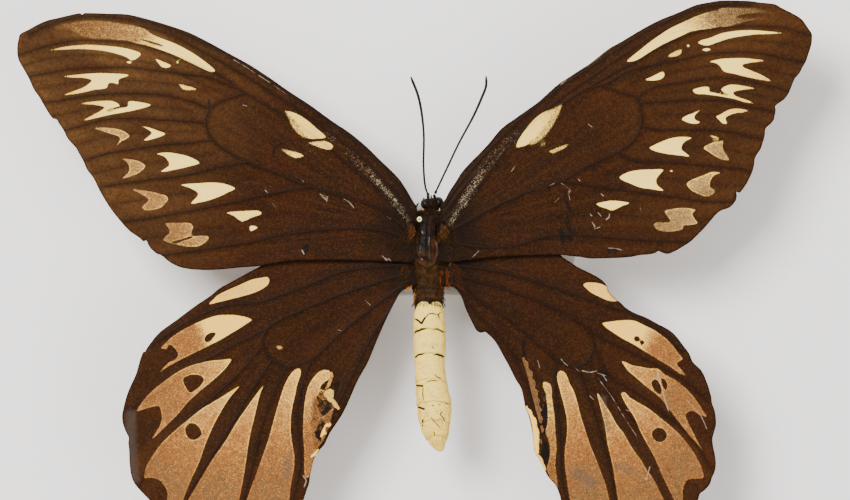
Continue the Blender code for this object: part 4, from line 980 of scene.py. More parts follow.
class Graph:
    """The nodes of one material."""

    def __init__(self, name: str) -> None:
        self.material = bpy.data.materials.new(name)
        self.material.use_nodes = True
        self.tree = self.material.node_tree
        self.tree.nodes.clear()

    def node(self, kind: str, settings: dict | None = None, inputs: dict | None = None, output: int | str = 0) -> Value:
        """Add one node, with its settings first and then its sockets.

        Args:
            kind: The node's type without its ShaderNode prefix.
            settings: Its own properties, and "stops" for a ramp.
            inputs: Numbers, colours or values by socket name or place.
            output: Which output to return.

        Returns:
            The chosen output.
        """
        made = self.tree.nodes.new("ShaderNode" + kind)
        for key, setting in (settings or {}).items():
            if key == "stops":
                self._set_stops(made.color_ramp, setting)
            else:
                setattr(made, key, setting)
        for key, term in (inputs or {}).items():
            socket = made.inputs[key] if isinstance(key, int) else next(
                found for found in made.inputs if found.name == key and found.enabled)
            if isinstance(term, Value):
                self.tree.links.new(term.socket, socket)
            else:
                socket.default_value = (*term, 1.0) if socket.type == "RGBA" and len(term) == 3 else term
        if isinstance(output, str):
            return Value(self, made.outputs[output])
        outputs = [found for found in made.outputs if found.enabled] or [None]
        return Value(self, outputs[output])

    @staticmethod
    def _set_stops(ramp: bpy.types.ColorRamp, stops: tuple) -> None:
        """Give a ramp its stops, each a place and a colour."""
        while len(ramp.elements) < len(stops):
            ramp.elements.new(1.0)
        for element, (place, colour) in zip(ramp.elements, stops):
            element.position = place
            element.color = (*colour, 1.0)

    def riding(self, name: str) -> Value:
        """A value that rides on the mesh."""
        return self.node("Attribute", {"attribute_name": name}, output="Fac")

    def place(self) -> Value:
        """Where on the object the surface is."""
        return self.node("TexCoord", output="Object")

    def noise(self, size: float, detail: float = 2.0, at: Value | None = None, rough: float = 0.5) -> Value:
        """Cloudy noise with lumps of about one size, from 0 to 1.

        Args:
            size: Size of its lumps.
            detail: How many finer layers it has.
            at: Where it is read, if not at the place on the object.
            rough: How strong the finer layers are.

        Returns:
            The noise.
        """
        inputs = {"Vector": at or self.place(), "Scale": 1 / size, "Detail": detail, "Roughness": rough}
        return self.node("TexNoise", inputs=inputs)

    def cells(self, size: float, at: Value | None = None, output: str = "Distance") -> Value:
        """Cells of about one size: the way to their middles, or a draw for each."""
        return self.node("TexVoronoi", inputs={"Vector": at or self.place(), "Scale": 1 / size}, output=output)

    def draw(self, size: float, at: Value | None = None) -> Value:
        """One random number for each cell of about this size."""
        return self.node("SeparateColor", inputs={"Color": self.cells(size, at, "Color")})

    def mix(self, share: Term, first: "Value | Colour", second: "Value | Colour", how: str = "MIX") -> Value:
        """A blend of two colours.

        Args:
            share: How much of the second there is.
            first: The first colour.
            second: The second colour.
            how: The kind of blend.

        Returns:
            The blended colour.
        """
        settings = {"data_type": "RGBA", "blend_type": how}
        return self.node("Mix", settings, {"Factor": share, "A": first, "B": second})

    def layers(self, colour: "Value | Colour", *coats: tuple[Term, "Value | Colour"]) -> "Value | Colour":
        """A colour under coats of others, each given as its share and its colour."""
        for share, tint in coats:
            colour = self.mix(share, colour, tint)
        return colour

    def ramp(self, share: Value, stops: tuple) -> Value:
        """A colour read from a ramp of places and colours."""
        return self.node("ValToRGB", {"stops": stops}, {"Fac": share}, output="Color")

    def bump(self, height: Value, depth: float, strength: float = 1.0) -> Value:
        """A bumpy normal from a height of 0 to 1 that stands for this depth."""
        return self.node("Bump", inputs={"Height": height, "Distance": depth, "Strength": strength})

    def surface(self, colour: "Value | Colour", roughness: Term, normal: Value | None = None, **sockets: Term
                ) -> bpy.types.Material:
        """Finish the material with its one shader.

        Args:
            colour: Its base colour.
            roughness: Its roughness.
            normal: Its normal, if it is bumpy.
            sockets: Other sockets of the shader by name, with _ for a space.

        Returns:
            The material.
        """
        inputs = {"Base Color": colour, "Roughness": roughness}
        inputs |= {key.replace("_", " "): number for key, number in sockets.items()}
        if normal:
            inputs["Normal"] = normal
        shader = self.node("BsdfPrincipled", inputs=inputs)
        self.node("OutputMaterial", inputs={"Surface": shader})
        return self.material


@dataclass(frozen=True)
class WingFinish:
    """Scales of the wings: brown ground, pale patches, dark veins, dusting, rubs and soot, with painted shade, painted
    glints and a painted sheen.
    """

    name: str
    inner: Colour
    middle: Colour
    outer: Colour
    cream: Colour = paint(255, 219, 114)
    yellow: Colour = paint(234, 186, 84)
    buff: Colour = paint(184, 134, 68)
    tan: Colour = paint(142, 88, 40)
    dusky: Colour = paint(112, 80, 46)
    greyed: Colour = paint(100, 80, 54)
    ray: Colour = paint(72, 42, 16)
    shadow: Colour = paint(27, 13, 4)
    # Painted shade along the fold valleys between the veins.
    fold: Colour = paint(24, 12, 4)
    # Painted shade beside the raised veins.
    painted_vein_shade: Colour = paint(26, 12, 4)
    rust: Colour = paint(62, 25, 6)
    front: Colour = paint(34, 20, 10)
    cloud: Colour = paint(30, 13, 1)
    dark_scale: Colour = paint(24, 10, 1)
    gold_scale: Colour = paint(104, 64, 22)
    root: Colour = paint(13, 7, 5)
    sheen: Colour = paint(112, 76, 40)
    pollen: tuple[Colour, Colour] = (paint(112, 100, 68), paint(186, 174, 138))
    brown_flake: Colour = paint(84, 38, 14)
    gold_flake: Colour = paint(230, 172, 84)
    russet_cloud: Colour = paint(134, 70, 30)
    # Grey dusting, and a painted grey sheen along the left hindwing's margin.
    bloom: Colour = paint(76, 68, 60)
    # Dark marks: soot, and painted shadow beside the curled and torn margins of the hindwings.
    soot: Colour = paint(16, 11, 8)
    # Pale rubs where scales are worn off, and painted glints.
    worn_and_glint: Colour = paint(172, 152, 128)
    vein: Colour = paint(24, 11, 4)
    # Dark edge line: the dark margin, with painted shade at the wing's thin edge.
    edge: Colour = paint(15, 9, 7)
    scale: float = 0.17 * MM
    rays: float = 0.42
    russet: float = 0.06

    def _ground(self, g: Graph, grain: Value) -> Value:
        """The brown ground with its rays, clouds and darker root, with painted shade along the folds and beside the
        veins.
        """
        reach, turn = g.riding("reach"), g.riding("turn")
        streaks = g.noise(1.0, 3.0, g.node("CombineXYZ", inputs={"X": turn * 34.0, "Y": reach * 1.4, "Z": 0.0}), 0.6)
        broad = g.noise(1.0, 2.0, g.node("CombineXYZ", inputs={"X": turn * 9.0, "Y": reach * 2.5, "Z": 4.0}))
        clouds, fleck = g.noise(1.1 * MM, 4.0, rough=0.7), g.draw(0.34 * MM)
        ground = g.layers(
            g.ramp(reach + (grain - 0.5) * 0.05, ((0.08, self.inner), (0.5, self.middle), (0.96, self.outer))),
            (streaks.step(0.42, 0.7) * self.rays, self.ray),
            (broad.step(0.4, 0.66, 0.45, 0.0), self.shadow),
            # Painted shade along the fold valleys.
            (g.riding("pleat") * 0.5, self.fold),
            # Painted shade beside the raised veins.
            (g.riding("vein").step(-1.5, 0.1) * 0.5, self.painted_vein_shade),
            (g.noise(9 * MM, 2.0).step(0.45, 0.65) * 0.24, self.rust),
            (g.riding("front") * 0.5, self.front),
            (clouds.step(0.35, 0.62, 0.4, 0.0), self.cloud),
            (fleck.step(0.0, 0.5, 0.22, 0.0), self.dark_scale),
            (fleck.step(0.55, 1.0) * 0.2, self.gold_scale),
            (reach.step(0.05, 0.17, 0.8, 0.0) * clouds.step(0.2, 0.5), self.root))
        return g.mix((grain - 0.3).most(0.0), ground, self.sheen, "SOFT_LIGHT")

    def material(self) -> bpy.types.Material:
        """The wings' material.

        Returns:
            A material that reads the values riding on a wing.
        """
        g = Graph(self.name)
        light, tone, dust, rim = g.riding("light"), g.riding("tone"), g.riding("dust"), g.riding("rim")
        vein, band = g.riding("vein"), g.riding("sown")
        grain = g.noise(0.42 * MM, 2.0, rough=0.7)
        coarse = g.noise(1.6 * MM, 3.0, rough=0.6)
        speck, flake, pollen = g.draw(self.scale), g.draw(0.3 * MM), g.draw(0.2 * MM)
        ragged = light + (grain - 0.5) * (0.2 + dust * 0.9) + (speck - 0.5) * (0.08 + dust * 0.8) - dust * 0.1
        stops = ((0.0, self.cream), (0.27, self.yellow), (0.42, self.buff), (0.62, self.tan), (0.8, self.dusky),
                 (1.0, self.greyed))
        texture = tone.step(0.12, 0.45)
        shades = tone + (grain - 0.5) * texture * 0.85 + (coarse - 0.5) * texture * 0.35 + (speck - 0.5) * 0.14
        shades = shades - light.step(0.0, 0.6, 0.24, 0.0) * texture
        thin = (dust + (speck - 0.5) * 0.9 + (grain - 0.5) * 0.9 + (coarse - 0.5) * 0.5).step(0.3, 1.05)
        thick = 0.56 - g.riding("reach").step(0.08, 0.3) * 0.38
        sown = (band * thick + pollen - 1.0 + (grain - 0.5) * 0.8 + (coarse - 0.5) * 0.5).step(0.0, 0.4)
        tan = texture * ragged.step(0.0, 0.2) * (1 - dust * 1.6).most(0.0)
        soot = (g.riding("soot") + (grain - 0.5) * 0.5).step(-0.1, 0.3)
        colour = g.layers(
            self._ground(g, grain),
            (ragged.step(-0.06, 0.1) * (1 - thin * 0.88), g.ramp(shades, stops)),
            (sown * band.step(0.0, 0.3) * 0.6, g.mix(pollen, *self.pollen)),
            (tan * flake.step(0.0, 0.34, 0.42, 0.0), self.brown_flake),
            (tan * (flake + (grain - 0.5) * 0.3).step(0.84, 1.0) * 0.55, self.gold_flake),
            (tan * g.noise(5 * MM, 3.0).step(0.42, 0.66) * self.russet, self.russet_cloud),
            ((vein + (grain - 0.5) * 0.08).step(-0.12, 0.3) * light.step(0.0, 0.3, 0.66, 0.14), self.vein),
            # Grey dusting and painted grey sheen.
            ((g.riding("bloom") + (coarse - 0.5) * 0.5).step(0.2, 1.1) * 0.4, self.bloom),
            # Soot and painted shadow.
            (soot * (coarse.step(0.3, 0.6) * 0.5 + 0.45), self.soot),
            # Rubbed scales and painted glints.
            ((g.riding("rub") + (coarse - 0.56) * 0.5 + (grain - 0.5) * 0.2).step(-0.06, 0.07) * 0.52, self.worn_and_glint),
            # Dark margin, with painted shade at the edge.
            ((1 - rim.step(0.1, 0.42)) * 0.85, self.edge))
        rows = g.cells(self.scale) * 0.6 + grain * 0.6 + coarse * 0.4
        rough = 0.72 - vein.step(-0.1, 0.1) * 0.15 + (speck - 0.5) * 0.1
        return g.surface(colour, rough, g.bump(rows, 0.06 * MM, 0.5), Specular_IOR_Level=0.07)


@dataclass(frozen=True)
class SkinFinish:
    """The body: glossy dark thorax, cream abdomen with cracks and yellow flanks, with painted shade in its seams and
    crease valleys.
    """

    name: str = "body_skin"
    shell: Colour = paint(12, 7, 5)
    ridge: Colour = paint(60, 28, 7)
    cream: Colour = paint(246, 213, 98)
    flank: Colour = paint(234, 190, 70)
    crack: Colour = paint(22, 12, 6)
    blotch: Colour = paint(40, 20, 10)
    olive: Colour = paint(74, 50, 20)
    stain: Colour = paint(196, 160, 96)
    fleck: Colour = paint(150, 112, 60)
    # Brown seam lines with painted shade under each step, and painted shade in the abdomen's crease valleys.
    seam: Colour = paint(150, 112, 56)

    def material(self) -> bpy.types.Material:
        """The body's material.

        Returns:
            A material that reads the values riding on the skin.
        """
        g = Graph(self.name)
        blotch, grain = g.noise(2.4 * MM, 4.0), g.noise(0.3 * MM, 3.0, rough=0.65)
        shell = g.layers(
            self.shell, (blotch.step(0.4, 0.7) * 0.7, self.blotch),
            (g.riding("olive") * (blotch * 0.7 + grain * 0.6).step(0.45, 0.85), self.olive),
            (g.riding("warm") * (blotch * 0.6 + grain * 0.6).step(0.4, 0.75), self.ridge))
        cream = g.layers(
            self.cream, (g.riding("flank"), self.flank),
            ((blotch + grain * 0.3).step(0.62, 0.86) * 0.55, self.stain),
            (g.noise(0.7 * MM, 4.0).step(0.62, 0.72) * 0.35, self.fleck))
        pale = (g.riding("cream") + (grain - 0.5) * 0.7).step(-0.12, 0.12)
        colour = g.layers(
            # The seam tint carries brown seam lines and painted shade in the seams and crease valleys.
            shell, (pale, cream), (g.riding("seam") * (0.4 + blotch * 0.6), self.seam),
            ((g.riding("crack") + (grain - 0.5) * 0.3).step(0.35, 0.6), self.crack))
        rough = 0.44 + pale * 0.16 + (grain - 0.5) * 0.15
        height = grain * 0.6 + blotch * 0.7 + g.cells(0.5 * MM) * 0.3
        return g.surface(colour, rough, g.bump(height, 0.12 * MM, 0.5), Specular_IOR_Level=0.06,
                         Coat_Weight=g.riding("gloss") * 0.6, Coat_Roughness=0.08)


@dataclass(frozen=True)
class HairFinish:
    """Hairs: black-brown, by olive and orange-red, to cream, paler to the tip."""

    name: str = "hair"
    stops: tuple[tuple[float, Colour], ...] = (
        (0.0, paint(18, 10, 6)), (0.3, paint(58, 40, 17)), (0.6, paint(126, 52, 14)), (0.8, paint(180, 112, 54)),
        (1.0, paint(214, 186, 122)),
    )
    tip: Colour = paint(150, 104, 56)

    def material(self) -> bpy.types.Material:
        """The hairs' material.

        Returns:
            A material that reads each hair's tone.
        """
        g = Graph(self.name)
        tone, tip = g.riding("tone") + (g.noise(0.8 * MM) - 0.5) * 0.12, g.riding("tip")
        colour = g.mix(tip * 0.16, g.ramp(tone, self.stops), self.tip)
        return g.surface(colour, 0.55 + tip * 0.1, Specular_IOR_Level=0.09)


@dataclass(frozen=True)
class HornFinish:
    """Hard dark parts: feelers, legs, tongue and palps, ringed or plain."""

    name: str
    colour: Colour
    joint: Colour
    ring: float = 0.6 * MM
    roughness: float = 0.38

    def material(self) -> bpy.types.Material:
        """The hard parts' material.

        Returns:
            A material with paler joints and a fine grain.
        """
        g = Graph(self.name)
        grain = g.noise(0.2 * MM, 3.0)
        colour = g.mix(g.riding("joint") * 0.35 + (grain - 0.5) * 0.2, self.colour, self.joint)
        rough = self.roughness + (grain - 0.5) * 0.3
        return g.surface(colour, rough, g.bump(grain + g.cells(0.16 * MM) * 0.5, 0.04 * MM, 0.5),
                         Specular_IOR_Level=0.16)


@dataclass(frozen=True)
class EyeFinish:
    """Large dark eyes with fine facets and a clear gloss."""

    name: str = "eye"
    dark: Colour = paint(10, 6, 4)
    brown: Colour = paint(28, 15, 9)

    def material(self) -> bpy.types.Material:
        """The eyes' material.

        Returns:
            A glossy material with facets.
        """
        g = Graph(self.name)
        facets = g.cells(0.07 * MM)
        colour = g.mix(g.noise(0.9 * MM, 2.0).step(0.4, 0.7), self.dark, self.brown)
        return g.surface(colour, 0.3 + facets * 0.3, g.bump(facets, 0.014 * MM, 0.7), Specular_IOR_Level=0.1,
                         Coat_Weight=0.14, Coat_Roughness=0.1)


@dataclass(frozen=True)
class PinFinish:
    """Steel shaft, and a cream-brass head with a darker middle."""

    name: str = "pin"
    ivory: Colour = paint(244, 232, 176)
    brass: Colour = paint(214, 190, 110)
    dimple: Colour = paint(84, 70, 40)
    steel: tuple[Colour, Colour] = (paint(96, 92, 86), paint(138, 132, 120))

    def material(self) -> bpy.types.Material:
        """The pin's material.

        Returns:
            A material that reads which part of the pin it is on.
        """
        g = Graph(self.name)
        wear = g.noise(0.5 * MM, 4.0)
        head = g.riding("head")
        cream = g.layers(self.ivory, (wear.step(0.4, 0.7) * 0.5, self.brass), (g.riding("dimple"), self.dimple))
        colour = g.mix(head, g.mix(wear, *self.steel), cream)
        return g.surface(colour, 0.26 + wear * 0.16, g.bump(wear, 0.02 * MM, 0.4), Metallic=1 - head * 0.75)


@dataclass(frozen=True)
class PlasterFinish:
    """Pale painted surfaces: the base, and the floor below it."""

    name: str
    colour: Colour
    shade: Colour
    size: float
    depth: float
    roughness: float = 0.55

    def material(self) -> bpy.types.Material:
        """The painted material.

        Returns:
            A pale material with a faint unevenness.
        """
        g = Graph(self.name)
        clouds, grain = g.noise(self.size, 4.0), g.noise(self.size / 25, 3.0)
        colour = g.mix(clouds.step(0.35, 0.7) * 0.6 + grain * 0.15, self.colour, self.shade)
        return g.surface(colour, self.roughness + (grain - 0.5) * 0.15, g.bump(grain + clouds * 0.4, self.depth, 0.4))


# The wings

FOLD_POINTS = 60
FOLD_START = 6


@dataclass
class Wing:
    """One wing: a thin two-faced membrane with raised veins, folds between them, and its pattern."""

    node: str
    side: Side
    edge: Places
    root: Places
    veins: dict[str, Places]
    folds: tuple[tuple[str, str], ...]
    patches: tuple[Patch, ...]
    darks: tuple[Places, ...]
    rubs_and_glints: tuple[Scratch, ...]
    sown: tuple[Scratch, ...]
    soots_and_shadows: tuple[Places, ...] = ()
    blooms_and_sheens: tuple[Scratch, ...] = ()
    drop: float = 0.0
    seed: int = 1
    thickness: float = 0.16 * MM
    vein_root: float = 0.62 * MM
    vein_tip: float = 0.24 * MM
    vein_rise: float = 0.42
    fold_sink: float = 0.4 * MM
    wave: float = 0.28 * MM
    net: float = 1.1 * MM
    clear: float = 0.42 * MM
    within: float = 0.26 * MM
    _lines: dict[str, list[np.ndarray]] = field(default_factory=dict)

    def _veins(self) -> tuple[list[np.ndarray], list[np.ndarray]]:
        """The veins' lines over the base, and their half widths."""
        lines = [spline(on_plan(vein), VEIN_STEP) for vein in self.veins.values()]
        halves = []
        for line in lines:
            reach = np.linalg.norm(line - self._hub(), axis=1) / WING_REACH
            halves.append(np.clip(self.vein_root + (self.vein_tip - self.vein_root) * reach, self.vein_tip, None))
        return lines, halves

    def _hub(self) -> np.ndarray:
        """Where the wing's veins spread from."""
        return on_plan(self.root).mean(axis=0)

    def _folds(self) -> list[np.ndarray]:
        """The fold lines midway between pairs of veins."""
        middles = []
        for first, second in self.folds:
            pair = [resample(spline(on_plan(self.veins[name]), BAND_STEP), FOLD_POINTS) for name in (first, second)]
            middles.append(((pair[0] + pair[1]) / 2)[FOLD_START:])
        return middles

    @staticmethod
    def _beside(line: np.ndarray, way: float | np.ndarray) -> np.ndarray:
        """A line beside another, so far to its left."""
        along = unit(np.gradient(line, axis=0))
        return line + np.column_stack((-along[:, 1], along[:, 0])) * np.broadcast_to(way, len(line))[:, None]

    def _net(self) -> tuple[np.ndarray, np.ndarray]:
        """Points and triangles of the wing seen from above, with an edge along each mark and vein.

        Returns:
            Points in metres, and three corners a row, anticlockwise.
        """
        ring = spline(on_plan(self.edge + self.root), EDGE_STEP, closed=True)
        self._lines = {"edge": [spline(on_plan(self.edge), EDGE_STEP)], "fold": self._folds()}
        lines, loose = [np.vstack((ring, ring[:1]))], []
        for outline in [patch.outline for patch in self.patches] + list(self.darks) + list(self.soots_and_shadows):
            rim = border(outline)
            lines.append(np.vstack((rim, rim[:1])))
            for way in (-self.within, self.within):
                within = self._beside(rim, way)
                loose.append(within[depth_in(within, rim) > 0.12 * MM])
        for line, half in zip(*self._veins()):
            lines += [line] + [self._beside(line, way * half) for way in (-1.0, -0.5, 0.5, 1.0)]
        creases = [(line, 0.5 * MM) for line in self._lines["fold"]]
        creases += [(spline(on_plan(rub.line), SCRATCH_STEP), rub.half_width * PIXEL) for rub in self.rubs_and_glints]
        for line, half in creases:
            lines += [line, self._beside(line, half), self._beside(line, -half)]
        points, edges = [], []
        for line in lines:
            kept = inside(line, ring) if len(points) else np.ones(len(line), dtype=bool)
            start = sum(len(group) for group in points)
            order = np.cumsum(kept) - 1 + start
            edges += [(int(order[k]), int(order[k + 1])) for k in range(len(line) - 1) if kept[k] and kept[k + 1]]
            points.append(line[kept])
        taken = np.vstack(points + loose)
        tree = kd_tree(taken)
        low, high = ring.min(axis=0), ring.max(axis=0)
        columns, rows = np.meshgrid(np.arange(low[0], high[0], self.net),
                                    np.arange(low[1], high[1], self.net * math.sqrt(0.75)))
        columns = columns + (np.arange(len(rows)) % 2)[:, None] * self.net / 2
        spots = np.column_stack((columns.ravel(), rows.ravel()))
        spots = spots + np.random.default_rng(self.seed).uniform(-0.12, 0.12, spots.shape) * self.net
        spots = spots[inside(spots, ring)]
        free = [spot for spot in spots if tree.find((*spot, 0))[2] > self.clear]
        corners = np.vstack((taken, free))
        made = delaunay_2d_cdt([Vector(corner) for corner in corners], edges, [], 0, 1e-7)
        points = np.array([tuple(point) for point in made[0]])
        triangles = np.array(made[2])
        middle = points[triangles].mean(axis=1)
        triangles = triangles[inside(middle, ring)]
        a, b, c = (points[triangles[:, k]] for k in range(3))
        turn = (b[:, 0] - a[:, 0]) * (c[:, 1] - a[:, 1]) - (b[:, 1] - a[:, 1]) * (c[:, 0] - a[:, 0])
        sound = np.abs(turn) > 1e-14
        triangles, turn = triangles[sound], turn[sound]
        triangles[turn < 0] = triangles[turn < 0][:, ::-1]
        used, order = np.unique(triangles, return_inverse=True)
        return points[used], order.reshape(-1, 3)

    def _marks(self, points: np.ndarray) -> dict[str, np.ndarray]:
        """The pattern's distances and other values at each point, in millimetres where they are distances.

        Args:
            points: Places over the base.

        Returns:
            The values by name.
        """
        light, soot, rub = (np.full(len(points), -FAR) for _ in range(3))
        tone, dust, sown, bloom = (np.zeros(len(points)) for _ in range(4))
        for patch in self.patches:
            depth = depth_in(points, border(patch.outline))
            start, end = on_plan(patch.run)
            share = np.clip((points - start) @ (end - start) / ((end - start) @ (end - start)), 0, 1)
            nearer = depth > light
            tone = np.where(nearer, patch.tone[0] + share * (patch.tone[1] - patch.tone[0]), tone)
            dust = np.where(nearer, patch.dust[0] + share * (patch.dust[1] - patch.dust[0]), dust)
            light = np.maximum(light, depth)
        for dark in self.darks:
            light = np.minimum(light, -depth_in(points, border(dark)))
        for outline in self.soots_and_shadows:
            soot = np.maximum(soot, depth_in(points, border(outline)))
        for scratch in self.rubs_and_glints:
            gap = gap_to(points, [spline(on_plan(scratch.line), SCRATCH_STEP)])
            rub = np.maximum(rub, scratch.half_width * PIXEL - gap)
        for band in self.sown:
            gap, half = gap_to(points, [spline(on_plan(band.line), BAND_STEP)]), band.half_width * PIXEL
            sown = np.maximum(sown, 1 - ease(gap, half - 0.6 * MM, half + 1.2 * MM))
        for band in self.blooms_and_sheens:
            gap = gap_to(points, [spline(on_plan(band.line), BAND_STEP)])
            bloom = np.maximum(bloom, 1 - ease(gap, 0.3 * band.half_width * PIXEL, 1.4 * band.half_width * PIXEL))
        gap, half = nearest(points, *self._veins())
        away = points - self._hub()
        return {
            "light": light / MM, "tone": tone, "dust": dust, "soot": soot / MM, "rub": rub / MM, "sown": sown,
            "bloom": bloom,
            "vein": np.maximum(half - gap, -FAR) / MM,
            # Where the painted shade along the fold valleys lies.
            "pleat": 1 - ease(gap_to(points, self._lines["fold"]), 0.0, 0.95 * MM),
            "front": 1 - ease(gap_to(points, [spline(on_plan(self.veins["costa"]), BAND_STEP)]), 0.9 * MM, 2.2 * MM),
            "rim": np.minimum(gap_to(points, self._lines["edge"]), 4 * MM) / MM,
            "reach": np.linalg.norm(away, axis=1) / WING_REACH,
            "turn": np.unwrap(np.arctan2(away[:, 1], away[:, 0] * self.side.value) + math.pi) - math.pi,
        }

    def _heights(self, points: np.ndarray) -> tuple[np.ndarray, np.ndarray]:
        """Heights of the wing's upper and lower faces.

        Args:
            points: Places over the base.

        Returns:
            The upper and the lower height of each.
        """
        out = np.maximum(np.abs(points[:, 0]) - FLAT_HALF_SPAN, 0) / (WINGSPAN / 2 - FLAT_HALF_SPAN)
        gap, half = nearest(points, *self._veins())
        rim = gap_to(points, self._lines["edge"])
        inner = ease(np.abs(points[:, 0]), 4 * MM, 18 * MM)
        middle = WING_LEVEL - self.drop + TIP_RISE * out ** TIP_CURVE
        middle += inner * (rumple(points, 34 * MM, self.seed) * self.wave
                           - self.fold_sink * (1 - np.exp(-gap / (3 * MM))) * ease(rim, 0.0, 5 * MM))
        fold = gap_to(points, self._lines["fold"])
        middle -= inner * 0.16 * MM * np.exp(-fold / (0.9 * MM))
        share = np.clip(gap / half, 0, 1)
        ridge = self.vein_rise * half * np.sqrt(np.maximum(1 - share ** 2, 0))
        thick = self.thickness * (0.35 + 0.65 * ease(rim, 0.0, 0.8 * MM)) / 2
        return middle + thick + ridge, middle - thick - 0.6 * ridge

    def build(self, finish: bpy.types.Material) -> bpy.types.Object:
        """Build the wing in the place of its solid.

        Args:
            finish: The wing's material.

        Returns:
            The wing.
        """
        points, triangles = self._net()
        top, bottom = self._heights(points)
        count = len(points)
        values = {key: np.tile(numbers, 2) for key, numbers in self._marks(points).items()}
        steps = np.vstack([triangles[:, pair] for pair in ((0, 1), (1, 2), (2, 0))])
        codes = steps[:, 0] * count + steps[:, 1]
        rim = steps[~np.isin(codes, steps[:, 1] * count + steps[:, 0])]
        sides = np.column_stack((rim[:, 0] + count, rim[:, 1] + count, rim[:, 1], rim[:, 0]))
        verts = np.vstack((np.column_stack((points, top)), np.column_stack((points, bottom))))
        low, span = points.min(axis=0), np.ptp(points, axis=0)
        flat = (points - low) * min(0.98 / span[0], 0.47 / span[1]) + 0.01
        strip = np.linspace(0.01, 0.99, len(rim) + 1)
        chart = [flat[triangles.ravel()], flat[triangles[:, ::-1].ravel()] + (0, 0.48),
                 np.stack((np.column_stack((strip[:-1], strip[1:], strip[1:], strip[:-1])),
                           np.tile((0.972, 0.972, 0.985, 0.985), (len(rim), 1))), axis=-1).reshape(-1, 2)]
        shape = Shape(verts, [triangles, triangles[:, ::-1] + count, sides], values, np.vstack(chart))
        piece = shape.build(self.node.replace("wing", "wing_scales"), finish)
        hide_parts(self.node)
        return piece


# The body: one skin from the nose to the tail, and the parts that stand on it

# Each ring's place along the body, half width, half height, shift to the side and droop, in millimetres
BODY_ROWS = np.array((
    (12.62, 2.2, 2.3, 0.95, 0.32), (12.3, 2.9, 2.95, 0.8, 0.25), (11.3, 4.2, 4.2, 0.5, 0.1), (10, 4.9, 4.9, 0.2, 0),
    (7.5, 5.5, 5.5, 0, 0), (3.5, 5.9, 6.0, -0.2, 0), (-1, 5.9, 6.1, -0.3, 0), (-4, 5.5, 5.7, -0.2, 0),
    (-8.5, 4.9, 5.0, 0.1, 0.2), (-12, 4.3, 4.3, 0.3, 0.4), (-16.5, 4.5, 4.3, 0.3, 0.6), (-22, 4.8, 4.5, 0.4, 0.8),
    (-31, 5.0, 4.7, 0.5, 1.0), (-38, 4.7, 4.6, 0.6, 1.1), (-45, 5.15, 4.8, 1.4, 1.2), (-49.5, 5.4, 4.8, 2.0, 1.3),
    (-54, 4.9, 4.4, 2.1, 1.4), (-58.5, 3.9, 3.6, 2.5, 1.5), (-61.5, 2.4, 2.4, 3.0, 1.5), (-63.4, 1.1, 1.2, 3.7, 1.6),
    (-64.1, 0.12, 0.15, 4.0, 1.6),
))
# Each ring's place along the head, half width and half height, in millimetres
HEAD_ROWS = np.array((
    (1.62, 0.12, 0.12), (1.5, 0.75, 0.9), (1.15, 1.9, 2.1), (0.5, 2.6, 2.75), (-0.5, 2.75, 2.9), (-1.4, 2.3, 2.5),
    (-1.95, 1.7, 1.9), (-2.15, 1.6, 1.8),
))
HEAD_CENTRE = np.array((1.3, 14.95, 29.6)) * MM
HEAD_TURN = math.radians(7)
SEGMENT_SEAMS = (-26.2, -34.1, -42.0, -49.2, -55.2, -60.2)
ABDOMEN_FRONT = -17.0
TINTS = ("warm", "cream", "seam", "crack", "flank", "gloss", "olive")
THORAX_SEAMS = (11.2, -12.0)


def from_head(places: np.ndarray) -> np.ndarray:
    """Places in the room for places in the turned head, both in metres."""
    cos, sin = math.cos(HEAD_TURN), math.sin(HEAD_TURN)
    x, y = places[..., 0], places[..., 1]
    return np.stack((x * cos - y * sin, x * sin + y * cos, places[..., 2]), axis=-1) + HEAD_CENTRE


@dataclass
class Relief:
    """Places on the body's smooth skin in millimetres, how far the skin stands out there, and its tints."""

    spots: np.ndarray
    across: np.ndarray
    lifted: np.ndarray
    tints: dict[str, np.ndarray] = field(default_factory=dict)

    def __post_init__(self) -> None:
        """Work out which part of the body each place is on, and the skin's own unevenness."""
        self.y, self.plan = self.spots[:, 1], self.spots[:, :2] * MM
        self.top = ease(self.lifted, 0.0, 0.35)
        self.thorax = ease(self.y, -12.4, -11.6) * (1 - ease(self.y, 11.6, 12.4))
        self.abdomen = 1 - ease(self.y, -12.6, -11.8)
        self.height = 0.07 * rumple(self.spots, 3.2, 5) * (1 - ease(self.y, 12, 13))
        self.height += 0.03 * rumple(self.spots, 0.9, 6)


